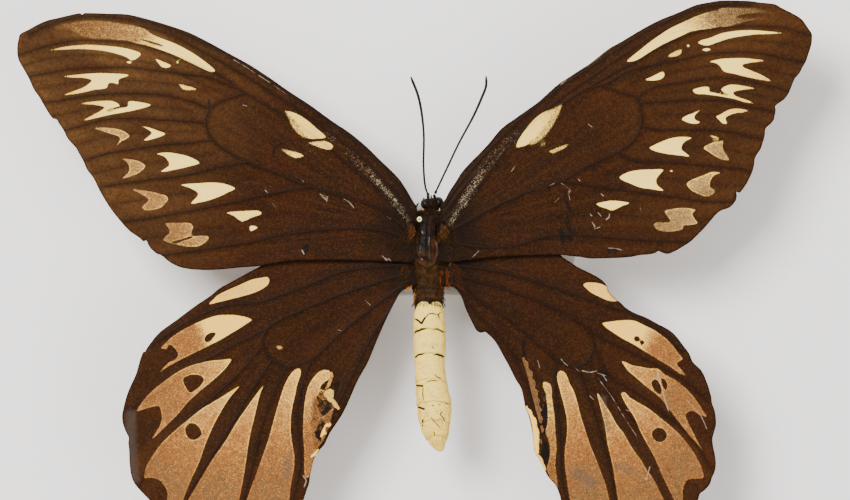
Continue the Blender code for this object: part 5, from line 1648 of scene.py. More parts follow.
@dataclass
class Skin:
    """One skin for the head, thorax and abdomen, with their grooves, seams and cracks."""

    sides: int = 120
    step: float = 0.3
    head_inset: float = 0.25
    thorax_inset: float = 0.3
    abdomen_inset: float = 0.05
    bow: float = 1.6
    ridges: tuple[Places, ...] = (
        ((420, 246), (419, 257), (423, 261)), ((429, 238), (429, 259)), ((436, 240), (437.5, 251), (434, 262)),
        ((422, 278), (433, 290)), ((421.5, 231.5), (423, 234.5)),
    )
    cracks: tuple[Places, ...] = (
        ((415, 319), (418, 321), (422, 323.6), (424, 320), (426, 317), (428.5, 314.4), (431, 313.4), (434.6, 314.2),
         (437, 315), (438.6, 314), (440, 312.6)), ((438, 314.6), (439.4, 318)), ((432, 346), (434, 349)),
        ((434.5, 374.4), (437, 377), (441, 378.2)), ((428, 381.6), (433, 380.4), (437, 381.6)),
        ((423.4, 388), (422.8, 394), (423.6, 400)), ((432, 405.6), (434, 405.2)), ((438.6, 405.2), (440.4, 405)),
        ((446, 404), (447.6, 404.4)), ((442, 411.6), (440.4, 415), (442.4, 417), (444.4, 421)),
        ((431, 417.6), (434, 421.4), (437, 424.6), (440, 428)), ((433.8, 432), (435, 436)), ((423, 420), (422.4, 427)),
    )
    gashes: tuple[Places, ...] = (
        ((416.6, 319.6), (419, 321), (421.8, 323.4), (423.4, 320.6), (425, 318)),
        ((415.5, 385.8), (419, 386), (422.6, 386.2)),
        ((416, 407.4), (420, 408), (424.4, 409.4)),
    )
    side_seams: tuple[tuple[float, float], ...] = ((8.0, 0.5), (3.4, 0.9), (-0.6, 0.5), (-7.6, 0.6))
    seam_strengths: tuple[float, ...] = (1.0, 0.95, 0.6, 0.8, 0.7, 0.6)
    openings: tuple[tuple[float, float, float], ...] = (
        (1.0, 0.5, 0.8), (0.9, 0.0, 0.95), (0.1, 0.0, 0.35), (0.0, 0.0, 0.3), (0.2, 0.0, 0.1), (0.0, 0.0, 0.0),
    )
    browns: tuple[Places, ...] = (
        ((430, 240), (434, 238), (438, 243), (438.5, 252), (436, 261), (431, 262), (432, 252)),
        ((414, 226), (418, 228), (419, 236), (416, 240), (413.5, 236)),
        ((418, 259.5), (422, 258.5), (425.5, 260.5), (424, 263.5), (419, 263.5)),
    )
    spots: np.ndarray = field(default_factory=lambda: np.zeros(0))
    normals: np.ndarray = field(default_factory=lambda: np.zeros(0))
    chart: np.ndarray = field(default_factory=lambda: np.zeros(0))

    def _rows(self) -> np.ndarray:
        """Middle, half sizes, turn and inset of each ring, in millimetres, from nose to tail."""
        head = [(*from_head(np.array((0, y, 0)) * MM) / MM, w, h, math.degrees(HEAD_TURN), self.head_inset)
                for y, w, h in HEAD_ROWS]
        body = [(shift, y, BODY_HEIGHT / MM - droop, w, h, 0.0,
                 self.thorax_inset if y > -11.9 else self.abdomen_inset) for y, w, h, shift, droop in BODY_ROWS]
        rows = spline(np.array(head + body), self.step)
        return rows[np.concatenate(([True], np.diff(rows[:, 1]) < -1e-3))]

    def _grid(self) -> tuple[np.ndarray, np.ndarray, np.ndarray, np.ndarray]:
        """Places on the smooth skin and which way is out of it, in millimetres, with each place's angle and lift."""
        rows = self._rows()
        angle = math.tau * np.arange(self.sides) / self.sides
        upper = np.maximum(np.sin(angle), 0) ** 1.4
        bow = self.bow * ease(-rows[:, 1], 14.0, 19.0) * (1 - ease(-rows[:, 1], 57.0, 63.0))
        y = rows[:, 1:2] + bow[:, None] * upper
        section = {key: np.interp(-y, -rows[:, 1], rows[:, k]) for key, k in
                   (("x", 0), ("z", 2), ("w", 3), ("h", 4), ("turn", 5), ("inset", 6))}
        section["w"] = np.maximum(section["w"] - section["inset"], 0.05)
        section["h"] = np.maximum(section["h"] - section["inset"], 0.05)
        turn = np.radians(section["turn"])
        cos, sin = np.cos(angle), np.sin(angle)
        spots = np.stack((section["x"] + section["w"] * cos * np.cos(turn), y + section["w"] * cos * np.sin(turn),
                          section["z"] + section["h"] * sin), axis=-1)
        out = unit(np.stack((cos / section["w"], np.zeros_like(y), sin / section["h"]), axis=-1))
        across = section["w"] * cos
        lifted = np.broadcast_to(sin, y.shape)
        return spots, out, across, lifted

    def _shields(self, at: Relief) -> None:
        """The grooves and polished ridges of the head and the thorax."""
        y, across, shield = at.y, at.across, at.thorax * at.top
        at.height -= shield * 0.42 * bell(across + 0.1 * np.sin(y), 0.3)
        at.height -= shield * 0.22 * bell(np.abs(across) - 2.7 - 0.05 * y, 0.28) * ease(y, -4, -1)
        scutellum = -4.6 - 1.9 * np.clip(1 - np.abs(across) / 2.8, 0, 1)
        at.height -= shield * 0.45 * bell(y - scutellum, 0.32)
        at.height += shield * 0.25 * bell(y - scutellum - 0.9, 0.6)
        for seam in THORAX_SEAMS:
            at.height -= 0.45 * bell(y - seam, 0.35)
        flanks = at.thorax * (1 - ease(at.lifted, -0.1, 0.35))
        for start, lean in self.side_seams:
            at.height -= flanks * 0.28 * bell(y - start + lean * (at.spots[:, 2] - BODY_HEIGHT / MM), 0.3)
        gap = gap_to(at.plan, [spline(on_plan(ridge), BAND_STEP) for ridge in self.ridges])
        at.height += at.top * 0.3 * bell(gap, 0.26 * MM)
        at.tints["gloss"] = at.top * bell(gap, 0.3 * MM)

    def _segments(self, at: Relief) -> None:
        """The seams between the abdomen's segments, with their open slits and the vents on the flanks."""
        seam_tint, slit_tint = np.zeros(len(at.y)), np.zeros(len(at.y))
        left, right = (ease(side * at.across / 4.6, 0.05, 0.55) * at.top for side in (-1, 1))
        bowed = at.y - self.bow * np.maximum(at.lifted, 0) ** 1.4
        seams = zip(SEGMENT_SEAMS, self.seam_strengths, self.openings)
        for number, (seam, strength, (on_left, on_top, on_right)) in enumerate(seams):
            ahead = bowed - seam - 0.22 * rumple(at.spots * (1, 0.2, 1), 3.0, 20 + number)
            step = np.where(ahead > 0, 0.13 * np.exp(-ahead / 1.3), -0.3 * np.exp(ahead / 0.7))
            at.height += strength * at.abdomen * step
            opened = left * on_left + right * on_right + np.maximum(at.top - left - right, 0) * on_top
            slit = opened * bell(ahead + 0.14, 0.1 + 0.26 * opened)
            at.height -= 0.3 * at.abdomen * slit
            vent = np.hypot(bowed - seam - 3.6, (at.lifted + 0.22) * 4.5)
            at.height -= 0.12 * bell(vent, 0.35)
            slit_tint = np.maximum(slit_tint, slit)
            # Brown line with painted shade just behind each seam's step.
            seam_tint = np.maximum(seam_tint, strength * bell(ahead + 0.12, 0.22))
            seam_tint = np.maximum(seam_tint, bell(vent, 0.3, 4))
        at.height -= at.abdomen * 0.16 * bell(at.lifted + 0.38, 0.07)
        at.tints["seam"], at.tints["slit"] = seam_tint, slit_tint

    def _creases(self, at: Relief) -> None:
        """The fine creases of the abdomen with painted shade in their valleys, and the cracks and gashes in its skin.
        """
        y, across = at.y, at.across
        creased = at.abdomen * (0.25 + 0.75 * ease(-y, 48.0, 53.0)) * (1 - ease(-y, 61.0, 63.5))
        waves = np.sin(y * 5.0 + 1.6 * rumple(at.spots, 4.0, 9) * 2 + across * 0.35)
        lines = np.sin(across * 4.6 + 3.4 * rumple(at.spots * (1, 0.45, 1), 2.6, 31)) * ease(-y, 46.0, 52.0)
        at.height += creased * (0.1 * waves + 0.12 * lines) * at.top
        # Painted shade in the crease valleys, added to the seam tint.
        tint = np.maximum(at.tints["seam"], creased * at.top * 0.55 * ease(-0.6 * waves - lines, 0.5, 1.4))
        at.tints["seam"] = tint * at.abdomen
        at.height += at.abdomen * 0.03 * np.sin(y * 9.0 + 3 * rumple(at.spots, 3.0, 12))
        thin, wide = (gap_to(at.plan, [spline(on_plan(line), 0.3 * MM) for line in group])
                      for group in (self.cracks, self.gashes))
        crack = np.maximum(bell(thin, 0.17 * MM) * at.top, at.top * bell(wide, 0.34 * MM, 4))
        crack = np.maximum(crack, at.tints.pop("slit") * at.abdomen)
        at.height -= 0.16 * crack
        at.tints["crack"] = crack

    def _colours(self, at: Relief) -> None:
        """The cream skin with its two-lobed front edge, and the brown, olive and yellow parts of the rest."""
        y = at.y
        column = at.plan[:, 0] / PIXEL + CENTRE_COLUMN
        left, right = ((column - middle) / 7.0 for middle in (423.0, 436.2))
        drop = np.minimum(np.where(left < 0, 2.4 * np.abs(left) ** 3, 1.3 * np.abs(left) ** 4),
                          np.where(right < 0, 1.3 * np.abs(right) ** 4, 2.4 * np.abs(right) ** 3))
        front = ABDOMEN_FRONT + np.where(at.lifted > 0, 0.65 - np.minimum(drop, 3.0), -2.35)
        cream = np.clip(front - y, -3, 3)
        at.height += 0.16 * ease(cream, -0.1, 0.25) * at.abdomen
        at.height -= 0.25 * at.abdomen * (cream < 0) * ease(-y, 12.6, 14.0) * np.abs(np.sin(y * 1.9))
        warm = np.zeros(len(y))
        for brown in self.browns:
            warm = np.maximum(warm, ease(depth_in(at.plan, on_plan(brown), 1 * MM), -0.2 * MM, 0.3 * MM) * at.top)
        at.height -= ease(y, 12.9, 13.4) * at.top * 0.25 * bell(y - 14.9, 0.25)
        flank = ease(np.abs(at.across) / 4.9, 0.55, 1.0) * 0.9
        flank *= 0.4 + 0.6 * ease(rumple(at.spots, 5.0, 33), -0.4, 0.6)
        olive = ease(-y, -2.0, 5.0) * (1 - ease(-y, 15.0, 17.0))
        olive *= 0.5 + 0.5 * ease(rumple(at.spots, 3.0, 51), -0.3, 0.5)
        flank = np.maximum(flank, 0.5 * ease(-y, 52.0, 62.0))
        at.tints |= {"warm": warm, "cream": cream, "flank": flank, "olive": olive}

    def build(self, finish: bpy.types.Material) -> bpy.types.Object:
        """Build the skin in the place of the head's, thorax's and abdomen's solids.

        Args:
            finish: The skin's material.

        Returns:
            The skin.
        """
        grid, out, across, lifted = self._grid()
        rings = len(grid)
        at = Relief(grid.reshape(-1, 3), across.ravel(), lifted.ravel())
        for carve in (self._shields, self._segments, self._creases, self._colours):
            carve(at)
        ends = np.minimum(np.arange(rings), np.arange(rings)[::-1])
        at.height *= np.repeat(ease(ends, 0.0, 5.0), self.sides)
        self.spots = ((at.spots + out.reshape(-1, 3) * at.height[:, None]) * MM).reshape(grid.shape)
        around_body = np.roll(self.spots, -1, 1) - np.roll(self.spots, 1, 1)
        self.normals = unit(np.cross(np.gradient(self.spots, axis=0), around_body))
        if (self.normals * out).sum() < 0:
            self.normals *= -1
        shape = turned(list(self.spots), {name: at.tints[name] for name in TINTS})
        faces = shape.faces[0]
        around, along = np.arange(self.sides + 1) / self.sides * 0.96 + 0.02, np.arange(rings) / rings * 0.96 + 0.02
        self.chart = np.stack(np.broadcast_arrays(around[None, :-1], along[:, None]), axis=-1)
        ring, side = faces[:, 0] // self.sides, faces[:, 0] % self.sides
        corners = np.stack((np.column_stack((around[side], around[side + 1], around[side + 1], around[side])),
                            np.column_stack((along[ring], along[ring], along[ring + 1], along[ring + 1]))), axis=-1)
        circle = math.tau * np.arange(self.sides) / self.sides
        cap = np.column_stack((np.cos(circle), np.sin(circle))) * 0.004
        charts = [corners, (cap + 0.008)[None], (cap + 0.992)[None]]
        if self._inward(shape.verts, faces):
            shape.faces = [block[:, ::-1] for block in shape.faces]
            charts = [block[:, ::-1] for block in charts]
        shape.chart = np.vstack([block.reshape(-1, 2) for block in charts])
        piece = shape.build("body_skin", finish)
        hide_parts("head", "prothorax", "mesothorax", "metathorax", *(f"abdomen_{k}" for k in range(1, 9)))
        return piece

    @staticmethod
    def _inward(verts: np.ndarray, faces: np.ndarray) -> bool:
        """Whether the faces of a closed form look inward."""
        middle = verts[faces].mean(axis=1)
        normal = np.cross(verts[faces[:, 1]] - verts[faces[:, 0]], verts[faces[:, 3]] - verts[faces[:, 0]])
        away = middle - np.column_stack((np.full(len(middle), 0.5 * MM), middle[:, 1], np.full(len(middle), 29.5 * MM)))
        return (normal * away).sum() < 0


@dataclass
class Eyes:
    """The two large eyes."""

    place: np.ndarray = field(default_factory=lambda: np.array((2.15, -0.1, 0.2)) * MM)
    radii: np.ndarray = field(default_factory=lambda: np.array((1.5, 1.75, 2.15)) * MM)

    def build(self, finish: bpy.types.Material) -> None:
        """Build both eyes in the place of their solids.

        Args:
            finish: The eyes' material.
        """
        for side in Side:
            centre = from_head(self.place * (side.value, 1, 1))
            piece = ball(centre, self.radii, HEAD_TURN, 48, 64).build(f"eye_ball_{side.name.lower()}", finish)
            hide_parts(f"eye_{side.name.lower()}")


@dataclass
class Limb:
    """A jointed limb: a path, its radii by share of the way, and rings along it."""

    node: str
    path: np.ndarray
    radii: tuple[tuple[float, float], ...]
    ring: float = 0.6 * MM
    swell: float = 0.08
    joints: tuple[float, ...] = ()
    step: float = 0.12 * MM
    sides: int = 12
    spines: float = 0.0
    seed: int = 1

    def build(self, finish: bpy.types.Material) -> bpy.types.Object:
        """Build the limb in the place of its solid.

        Args:
            finish: The limb's material.

        Returns:
            The limb.
        """
        line = spline(self.path, self.step)
        walked = np.concatenate(([0.0], np.cumsum(np.linalg.norm(np.diff(line, axis=0), axis=1))))
        share = walked / walked[-1]
        places, sizes = zip(*self.radii)
        radius = np.interp(share, places, np.array(sizes) * MM)
        phase = (walked / self.ring) % 1.0
        radius *= 1 + self.swell * (ease(phase, 0.0, 0.75) - ease(phase, 0.85, 1.0)) - self.swell / 2
        joint = ease(phase, 0.8, 0.9) * (1 - ease(phase, 0.93, 1.0))
        for place in self.joints:
            near = np.exp(-((share - place) / 0.012) ** 2)
            radius *= 1 - 0.28 * near
            radius *= 1 + 0.22 * np.exp(-((share - place + 0.022) / 0.012) ** 2)
            joint = np.maximum(joint * 0.4, near)
        radius[:3] *= (0.5, 0.8, 0.95)
        radius[-3:] *= (0.95, 0.75, 0.4)
        shape = tube(line, radius, self.sides)
        shape.values["joint"] = np.repeat(joint, self.sides)
        shapes = [shape]
        if self.spines:
            shapes += self._spines(line, radius)
        piece = Shape.joined(shapes).build(self.node + "_limb", finish)
        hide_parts(self.node)
        return piece

    def _spines(self, line: np.ndarray, radius: np.ndarray) -> list[Shape]:
        """Short spines along the outer half of the limb, and two claws at its end."""
        draw = np.random.default_rng(self.seed)
        made = []
        ways = unit(np.gradient(line, axis=0))
        for index in range(int(len(line) * 0.42), len(line) - 6, 7):
            for _ in range(2):
                out = np.cross(ways[index], draw.normal(size=3))
                out /= np.linalg.norm(out)
                root = line[index] + out * radius[index] * 0.6
                tip = root + (out * 0.6 + ways[index] * 0.8) * self.spines * draw.uniform(0.7, 1.2)
                spine = tube(resample(np.vstack((root, tip)), 4), np.array((0.055, 0.045, 0.03, 0.008)) * MM, 5)
                made.append(spine)
        across = np.cross(ways[-1], (0, 0, 1))
        for side in (-1, 1):
            claw = spline(np.vstack((line[-3], line[-1] + 0.22 * MM * across * side,
                                     line[-1] + (0.45 * ways[-1] + 0.3 * across * side - (0, 0, 0.2)) * MM)), 0.08 * MM)
            taper = np.interp(np.linspace(0, 1, len(claw)), (0, 1), (0.09 * MM, 0.02 * MM))
            made.append(tube(claw, taper, 6))
        for shape in made:
            shape.values["joint"] = np.zeros(len(shape.verts))
        return made


@dataclass
class Limbs:
    """Feelers, legs, palps and the coiled tongue."""

    feelers: dict[Side, Places] = field(default_factory=lambda: {
        Side.LEFT: ((428.5, 195.5), (425.4, 187), (423.6, 167), (423.6, 131), (418.7, 98), (410.6, 76.5)),
        Side.RIGHT: ((435, 193.5), (439, 185), (448, 166), (459, 143), (473, 117), (481.6, 98), (486, 86), (486, 76)),
    })
    feeler_radii: tuple[tuple[float, float], ...] = ((0, 0.42), (0.03, 0.38), (0.05, 0.32), (0.55, 0.35), (0.8, 0.43),
                                                     (0.96, 0.42), (1, 0.2))
    leg_radii: tuple[tuple[float, float], ...] = ((0, 0.58), (0.3, 0.55), (0.45, 0.42), (0.75, 0.34), (0.97, 0.27),
                                                  (1, 0.16))
    legs: dict[str, tuple[tuple[float, ...], ...]] = field(default_factory=lambda: {
        "front": ((2.3, 8.0), (4.6, 9.3, -8.2), (5.8, 10.3, -9.2), (4.2, 13.2, -10.2), (3.0, 15.0, -10.4)),
        "middle": ((2.7, 2.5), (6.3, 1.0, -8.7), (8.6, -1.0, -9.4), (6.0, -9.0, -10.6), (3.6, -16.0, -10.4)),
        "hind": ((2.4, -6.0), (4.2, -9.5, -8.0), (4.4, -12.5, -8.8), (3.0, -22.0, -9.0), (2.2, -33.0, -8.3)),
    })
    leg_joints: tuple[float, ...] = (0.14, 0.45, 0.74, 0.81, 0.87, 0.93)
    hip: float = 0.9 * MM
    hip_drop: float = 1.9 * MM
    palp: tuple[tuple[float, ...], ...] = ((1.05, 0.4, -3.45), (1.05, 1.4, -2.95), (1.02, 2.15, -1.8), (1.0, 2.3, -0.7))
    palp_radii: tuple[tuple[float, float], ...] = ((0, 0.4), (0.6, 0.45), (0.9, 0.36), (1, 0.2))
    tongue_root: tuple[float, float, float] = (0, 0.1, -3.2)
    tongue_radii: tuple[tuple[float, float], ...] = ((0, 0.25), (0.8, 0.24), (1, 0.14))
    tongue_turns: float = 2.0
    tongue_points: int = 220

    def build(self, finish: bpy.types.Material, tongue_finish: bpy.types.Material) -> None:
        """Build all limbs in the place of their solids.

        Args:
            finish: The black limbs' material.
            tongue_finish: The tongue's material.
        """
        for side in Side:
            self._build_feeler(side, finish)
            self._build_legs(side, finish)
            path = from_head(np.array(self.palp) * (side.value, 1, 1) * MM)
            Limb(f"palp_{side.name.lower()}", path, self.palp_radii, 0.9 * MM, 0.06, (0.33, 0.72),
                 step=0.08 * MM).build(finish)
        self._build_tongue(tongue_finish)

    def _build_feeler(self, side: Side, finish: bpy.types.Material) -> None:
        """Build one feeler, which rises a little from the head to its tip."""
        plan = on_plan(self.feelers[side])
        height = HEAD_CENTRE[2] + (2.0 + 4.0 * np.linspace(0, 1, len(plan))) * MM
        height[0] -= 0.5 * MM
        path = np.column_stack((plan, height))
        Limb(f"antenna_{side.name.lower()}", path, self.feeler_radii, 0.55 * MM, 0.04, (0.035,)).build(finish)

    def _build_legs(self, side: Side, finish: bpy.types.Material) -> None:
        """Build the three legs of one side, folded under the body."""
        for number, (name, (root, *rest)) in enumerate(self.legs.items()):
            floor = BODY_HEIGHT - self._half_height(root[1]) * math.sqrt(1 - (root[0] / 5.7) ** 2) * MM
            start = np.array((root[0] * MM, root[1] * MM, floor + self.hip))
            points = [start, start - (0, 0, self.hip_drop)]
            points += [np.array((x, y, z + BODY_HEIGHT / MM)) * MM for x, y, z in rest]
            path = np.array(points) * (side.value, 1, 1)
            Limb(f"leg_{name}_{side.name.lower()}", path, self.leg_radii, 1.4 * MM, 0.05, self.leg_joints,
                 spines=0.55 * MM, seed=10 + number).build(finish)

    def _build_tongue(self, finish: bpy.types.Material) -> None:
        """Build the tongue, coiled under the face."""
        turns = np.linspace(0, self.tongue_turns, self.tongue_points)
        angle = math.radians(115) - math.tau * turns
        radius = 1.75 - 0.62 * turns
        coil = np.column_stack((np.zeros(len(turns)), 0.8 + radius * np.cos(angle), -5.5 + radius * np.sin(angle)))
        path = from_head(np.vstack((self.tongue_root, coil)) * MM)
        Limb("proboscis", path, self.tongue_radii, 0.16 * MM, 0.12, step=0.05 * MM).build(finish)

    @staticmethod
    def _half_height(y: float) -> float:
        """The body's half height at a place along it, in millimetres."""
        return float(np.interp(-y, -BODY_ROWS[:, 0], BODY_ROWS[:, 2]))


@dataclass
class Tegulae:
    """The scale-like plates over the roots of the forewings."""

    centre: np.ndarray = field(default_factory=lambda: np.array((4.9, 6.2, 34.35)) * MM)
    radii: np.ndarray = field(default_factory=lambda: np.array((1.7, 3.1, 1.6)) * MM)

    def build(self, finish: bpy.types.Material) -> None:
        """Build both plates in the place of their solids.

        Args:
            finish: The plates' material.
        """
        for side in Side:
            shape = ball(self.centre * (side.value, 1, 1), self.radii, 0.12 * side.value, 40, 56)
            height = shape.verts[:, 2] - self.centre[2]
            shape.verts[:, 2] = self.centre[2] + np.where(height > 0, height, height * 0.12)
            local = shape.verts / MM
            shape.verts[:, 2] += 0.05 * MM * rumple(local, 1.2, 3) * (height > 0)
            count = len(shape.verts)
            shape.values |= {name: np.full(count, -3.0 if name == "cream" else 0.0) for name in TINTS}
            piece = shape.build(f"tegula_plate_{side.name.lower()}", finish)
            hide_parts(f"tegula_{side.name.lower()}")


@dataclass
class Stand:
    """The pin through the thorax and the low rounded base."""

    pin: tuple[float, float] = (419.5, 219.5)
    shaft: float = 0.35 * MM
    head: float = 0.82 * MM
    foot: float = 3.2 * MM
    top: float = 43.5 * MM
    size: tuple[float, float, float] = (96 * MM, 30 * MM, 8 * MM)
    corner: float = 14 * MM
    edge: float = 0.9 * MM

    def build_pin(self, finish: bpy.types.Material) -> bpy.types.Object:
        """Build the pin, turned from its outline.

        Args:
            finish: The pin's material.

        Returns:
            The pin.
        """
        head, top, shaft = self.head, self.top, self.shaft
        lean = np.linspace(-1.15, 1.25, 16)
        outline = [(0.02 * MM, self.foot - 1.2 * MM), (shaft, self.foot + 0.8 * MM)]
        outline += [(shaft, z) for z in np.linspace(self.foot + 2 * MM, top - 2.0 * head, 12)]
        outline += [(head * math.cos(t), top - 0.75 * head + 0.75 * head * math.sin(t)) for t in lean]
        outline += [(0.18 * MM, top - 0.28 * head), (0.02 * MM, top - 0.33 * head)]
        sides = 40
        turn = math.tau * np.arange(sides) / sides
        x, y = on_plan((self.pin,))[0]
        rings = [np.column_stack((x + r * np.cos(turn), y + r * np.sin(turn), np.full(sides, z))) for r, z in outline]
        values = {name: np.repeat([float(k >= first) for k in range(len(rings))], sides)
                  for name, first in (("head", 14), ("dimple", len(rings) - 3))}
        piece = turned(rings, values).build("pin_turned", finish)
        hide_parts("stand_pin")
        return piece

    def build_base(self, finish: bpy.types.Material) -> bpy.types.Object:
        """Build the base with its rounded corners and softened edges.

        Args:
            finish: The base's paint.

        Returns:
            The base.
        """
        width, depth, height = self.size
        steps = np.linspace(0, math.pi / 2, 24)
        quarter = np.column_stack((np.cos(steps), np.sin(steps)))
        ring, out = [], []
        for sx, sy, flip in ((1, 1, False), (-1, 1, True), (-1, -1, False), (1, -1, True)):
            arc = quarter[::-1] if flip else quarter
            middle = np.array((sx * (width / 2 - self.corner), sy * (depth / 2 - self.corner)))
            ring.append(middle + arc * (sx, sy) * self.corner)
            out.append(arc * (sx, sy))
        ring, out = np.vstack(ring), np.vstack(out)
        turns = np.linspace(0, math.pi / 2, 7)
        profile = [(self.edge * (1 - math.sin(t)), self.edge * (1 - math.cos(t))) for t in turns]
        levels = profile + [(0.0, z) for z in np.linspace(1.6 * MM, height - 1.6 * MM, 5)]
        levels += [(inset, height - z) for inset, z in profile[::-1]]
        levels += [(inset, height) for inset in (2 * MM, 5 * MM, 9 * MM)]
        rings = [np.column_stack((ring - out * inset, np.full(len(ring), z))) for inset, z in levels]
        piece = turned(rings).build("base_slab", finish)
        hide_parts("stand_base")
        return piece


# The coat: hairs and locks over the skin and at the roots of the wings


@dataclass(frozen=True)
class Growth:
    """Where hairs grow on the back, and how: an area in the picture, their count, length, lie and tone."""

    area: Places
    count: int
    length: float
    lie: tuple[float, float]
    tone: tuple[float, float]
    width: float = 0.07 * MM
    lift: float = 0.4


@dataclass
class Coat:
    """Hairs and locks rooted in the skin, on every side, and over the wings' roots."""

    skin: Skin
    growths: tuple[Growth, ...] = (
        Growth(((408, 219), (419, 219), (419, 241), (408, 241)), 620, 1.3 * MM, (-0.4, -0.9), (0.0, 0.3), 0.08 * MM),
        Growth(((437, 219), (449, 219), (449, 241), (437, 241)), 620, 1.3 * MM, (0.4, -0.9), (0.0, 0.3), 0.08 * MM),
        Growth(((410, 225), (415, 223), (416, 231), (414, 238), (411, 236)), 70, 1.5 * MM, (-0.4, -0.9), (0.1, 0.66),
               0.09 * MM, 0.6),
        Growth(((438, 226), (441, 224.5), (446, 226), (447.6, 231), (445, 237), (440, 238),
               (437.4, 232)), 150, 1.5 * MM,
               (0.4, -0.9), (0.1, 0.7), 0.09 * MM, 0.6),
        Growth(((440.6, 228.6), (444, 228.4), (444, 232), (441, 232)), 60, 1.4 * MM, (0.4, -0.9),
               (0.0, 0.12), 0.1 * MM, 0.7),
        Growth(((440, 268), (446, 265), (449, 272), (449.5, 283), (446, 289), (441, 287), (438.5, 278)), 230, 2.0 * MM,
               (0.2, -1.0), (0.3, 0.66), 0.1 * MM, 0.5),
        Growth(((442.5, 271), (445, 272), (446, 279), (444, 282)), 70, 2.2 * MM, (0.25, -1.0),
               (0.85, 1.0), 0.11 * MM, 0.7),
        Growth(((401, 266), (408, 264), (411, 270), (409, 277), (403, 275)), 60, 1.6 * MM, (-0.4, -0.9), (0.1, 0.52),
               0.08 * MM),
        Growth(((417.5, 260), (421, 258.6), (426, 260.4), (424, 263.6), (419.5, 262.8)), 46, 0.8 * MM, (0.1, -1.0),
               (0.35, 0.64), 0.07 * MM),
        Growth(((405.6, 286), (412, 284), (415, 292), (415.4, 302), (410, 302)), 190, 2.0 * MM, (-0.2, -1.0),
               (0.7, 0.98),
               0.07 * MM),
        Growth(((411, 284), (417, 288), (417, 306), (413, 304)), 120, 1.8 * MM, (-0.15, -1.0), (0.05, 0.5), 0.07 * MM),
        Growth(((442, 290), (446, 288), (446, 296), (443, 308)), 110, 1.8 * MM, (0.15, -1.0), (0.05, 0.4), 0.07 * MM),
        Growth(((415, 300), (444, 300), (444, 306), (430, 303), (415, 306)), 130, 1.3 * MM, (0.0, -1.0), (0.0, 0.3),
               0.07 * MM, 0.25),
        Growth(((415, 264), (442, 264), (442, 300), (416, 300)), 700, 1.3 * MM, (0.0, -1.0),
               (0.04, 0.42), 0.07 * MM, 0.25),
        Growth(((414, 200), (423, 205), (423, 213), (415, 211)), 260, 1.9 * MM, (-0.8, 0.5),
               (0.0, 0.12), 0.09 * MM, 0.25),
        Growth(((438, 207), (446, 204), (447, 214), (439, 215)), 130, 1.5 * MM, (0.9, 0.35),
               (0.0, 0.2), 0.06 * MM, 0.3),
        Growth(((436, 207), (442, 205), (442, 213), (437, 213)), 90, 2.2 * MM, (0.9, 0.5), (0.0, 0.1), 0.1 * MM, 0.2),
        Growth(((416, 207), (422, 206), (420, 215), (416, 215)), 110, 1.4 * MM, (-0.9, 0.35),
               (0.0, 0.2), 0.06 * MM, 0.3),
        Growth(((446, 260), (456, 263), (463, 274), (461, 288), (449, 284)), 120, 3.0 * MM, (0.7, -0.75), (0.1, 0.5),
               0.05 * MM),
        Growth(((398, 264), (411, 260), (411, 284), (402, 286)), 110, 2.8 * MM, (-0.7, -0.75), (0.0, 0.3), 0.05 * MM),
        Growth(((441, 209), (452, 206), (458, 222), (452, 240), (443, 240)), 240, 2.2 * MM, (0.75, -0.6), (0.0, 0.18),
               0.06 * MM, 0.25),
        Growth(((404, 204), (415, 209), (414, 240), (404, 240), (399, 222)), 240, 2.2 * MM, (-0.75, -0.6), (0.0, 0.18),
               0.06 * MM, 0.25),
        Growth(((443, 238), (458, 236), (462, 252), (452, 262), (443, 262)), 200, 2.4 * MM, (0.8, -0.5), (0.0, 0.22),
               0.06 * MM, 0.25),
        Growth(((398, 236), (413, 238), (413, 262), (404, 262), (394, 252)), 200, 2.4 * MM, (-0.8, -0.5), (0.0, 0.22),
               0.06 * MM, 0.25),
    )
    thorax_hairs: int = 10500
    head_hairs: int = 3200
    abdomen_hairs: int = 3600
    wings: tuple[Places, ...] = (FORE_LEFT_EDGE, FORE_RIGHT_EDGE, HIND_LEFT_EDGE, HIND_RIGHT_EDGE)

    def _skin_draw(self, draw: np.random.Generator, count: int, front: float, back: float) -> tuple[np.ndarray, ...]:
        """Random roots on the skin between two places along it.

        Args:
            draw: The source of chance.
            count: How many roots.
            front: The foremost Y, in metres.
            back: The hindmost Y, in metres.

        Returns:
            Roots, normals and places on the skin's chart.
        """
        grid = self.skin.spots
        rings = np.flatnonzero((grid[:, :, 1].mean(axis=1) < front) & (grid[:, :, 1].mean(axis=1) > back))
        girth = np.linalg.norm(np.roll(grid, -1, 1) - grid, axis=2).sum(axis=1)[rings]
        ring = draw.choice(rings, count, p=girth / girth.sum())
        side = draw.integers(0, grid.shape[1], count)
        shift = draw.uniform(0, 1, (count, 1))
        after = np.minimum(ring + 1, len(grid) - 1)
        roots = grid[ring, side] * (1 - shift) + grid[after, (side + 1) % grid.shape[1]] * shift
        return roots, self.skin.normals[ring, side], self.skin.chart[ring, side]

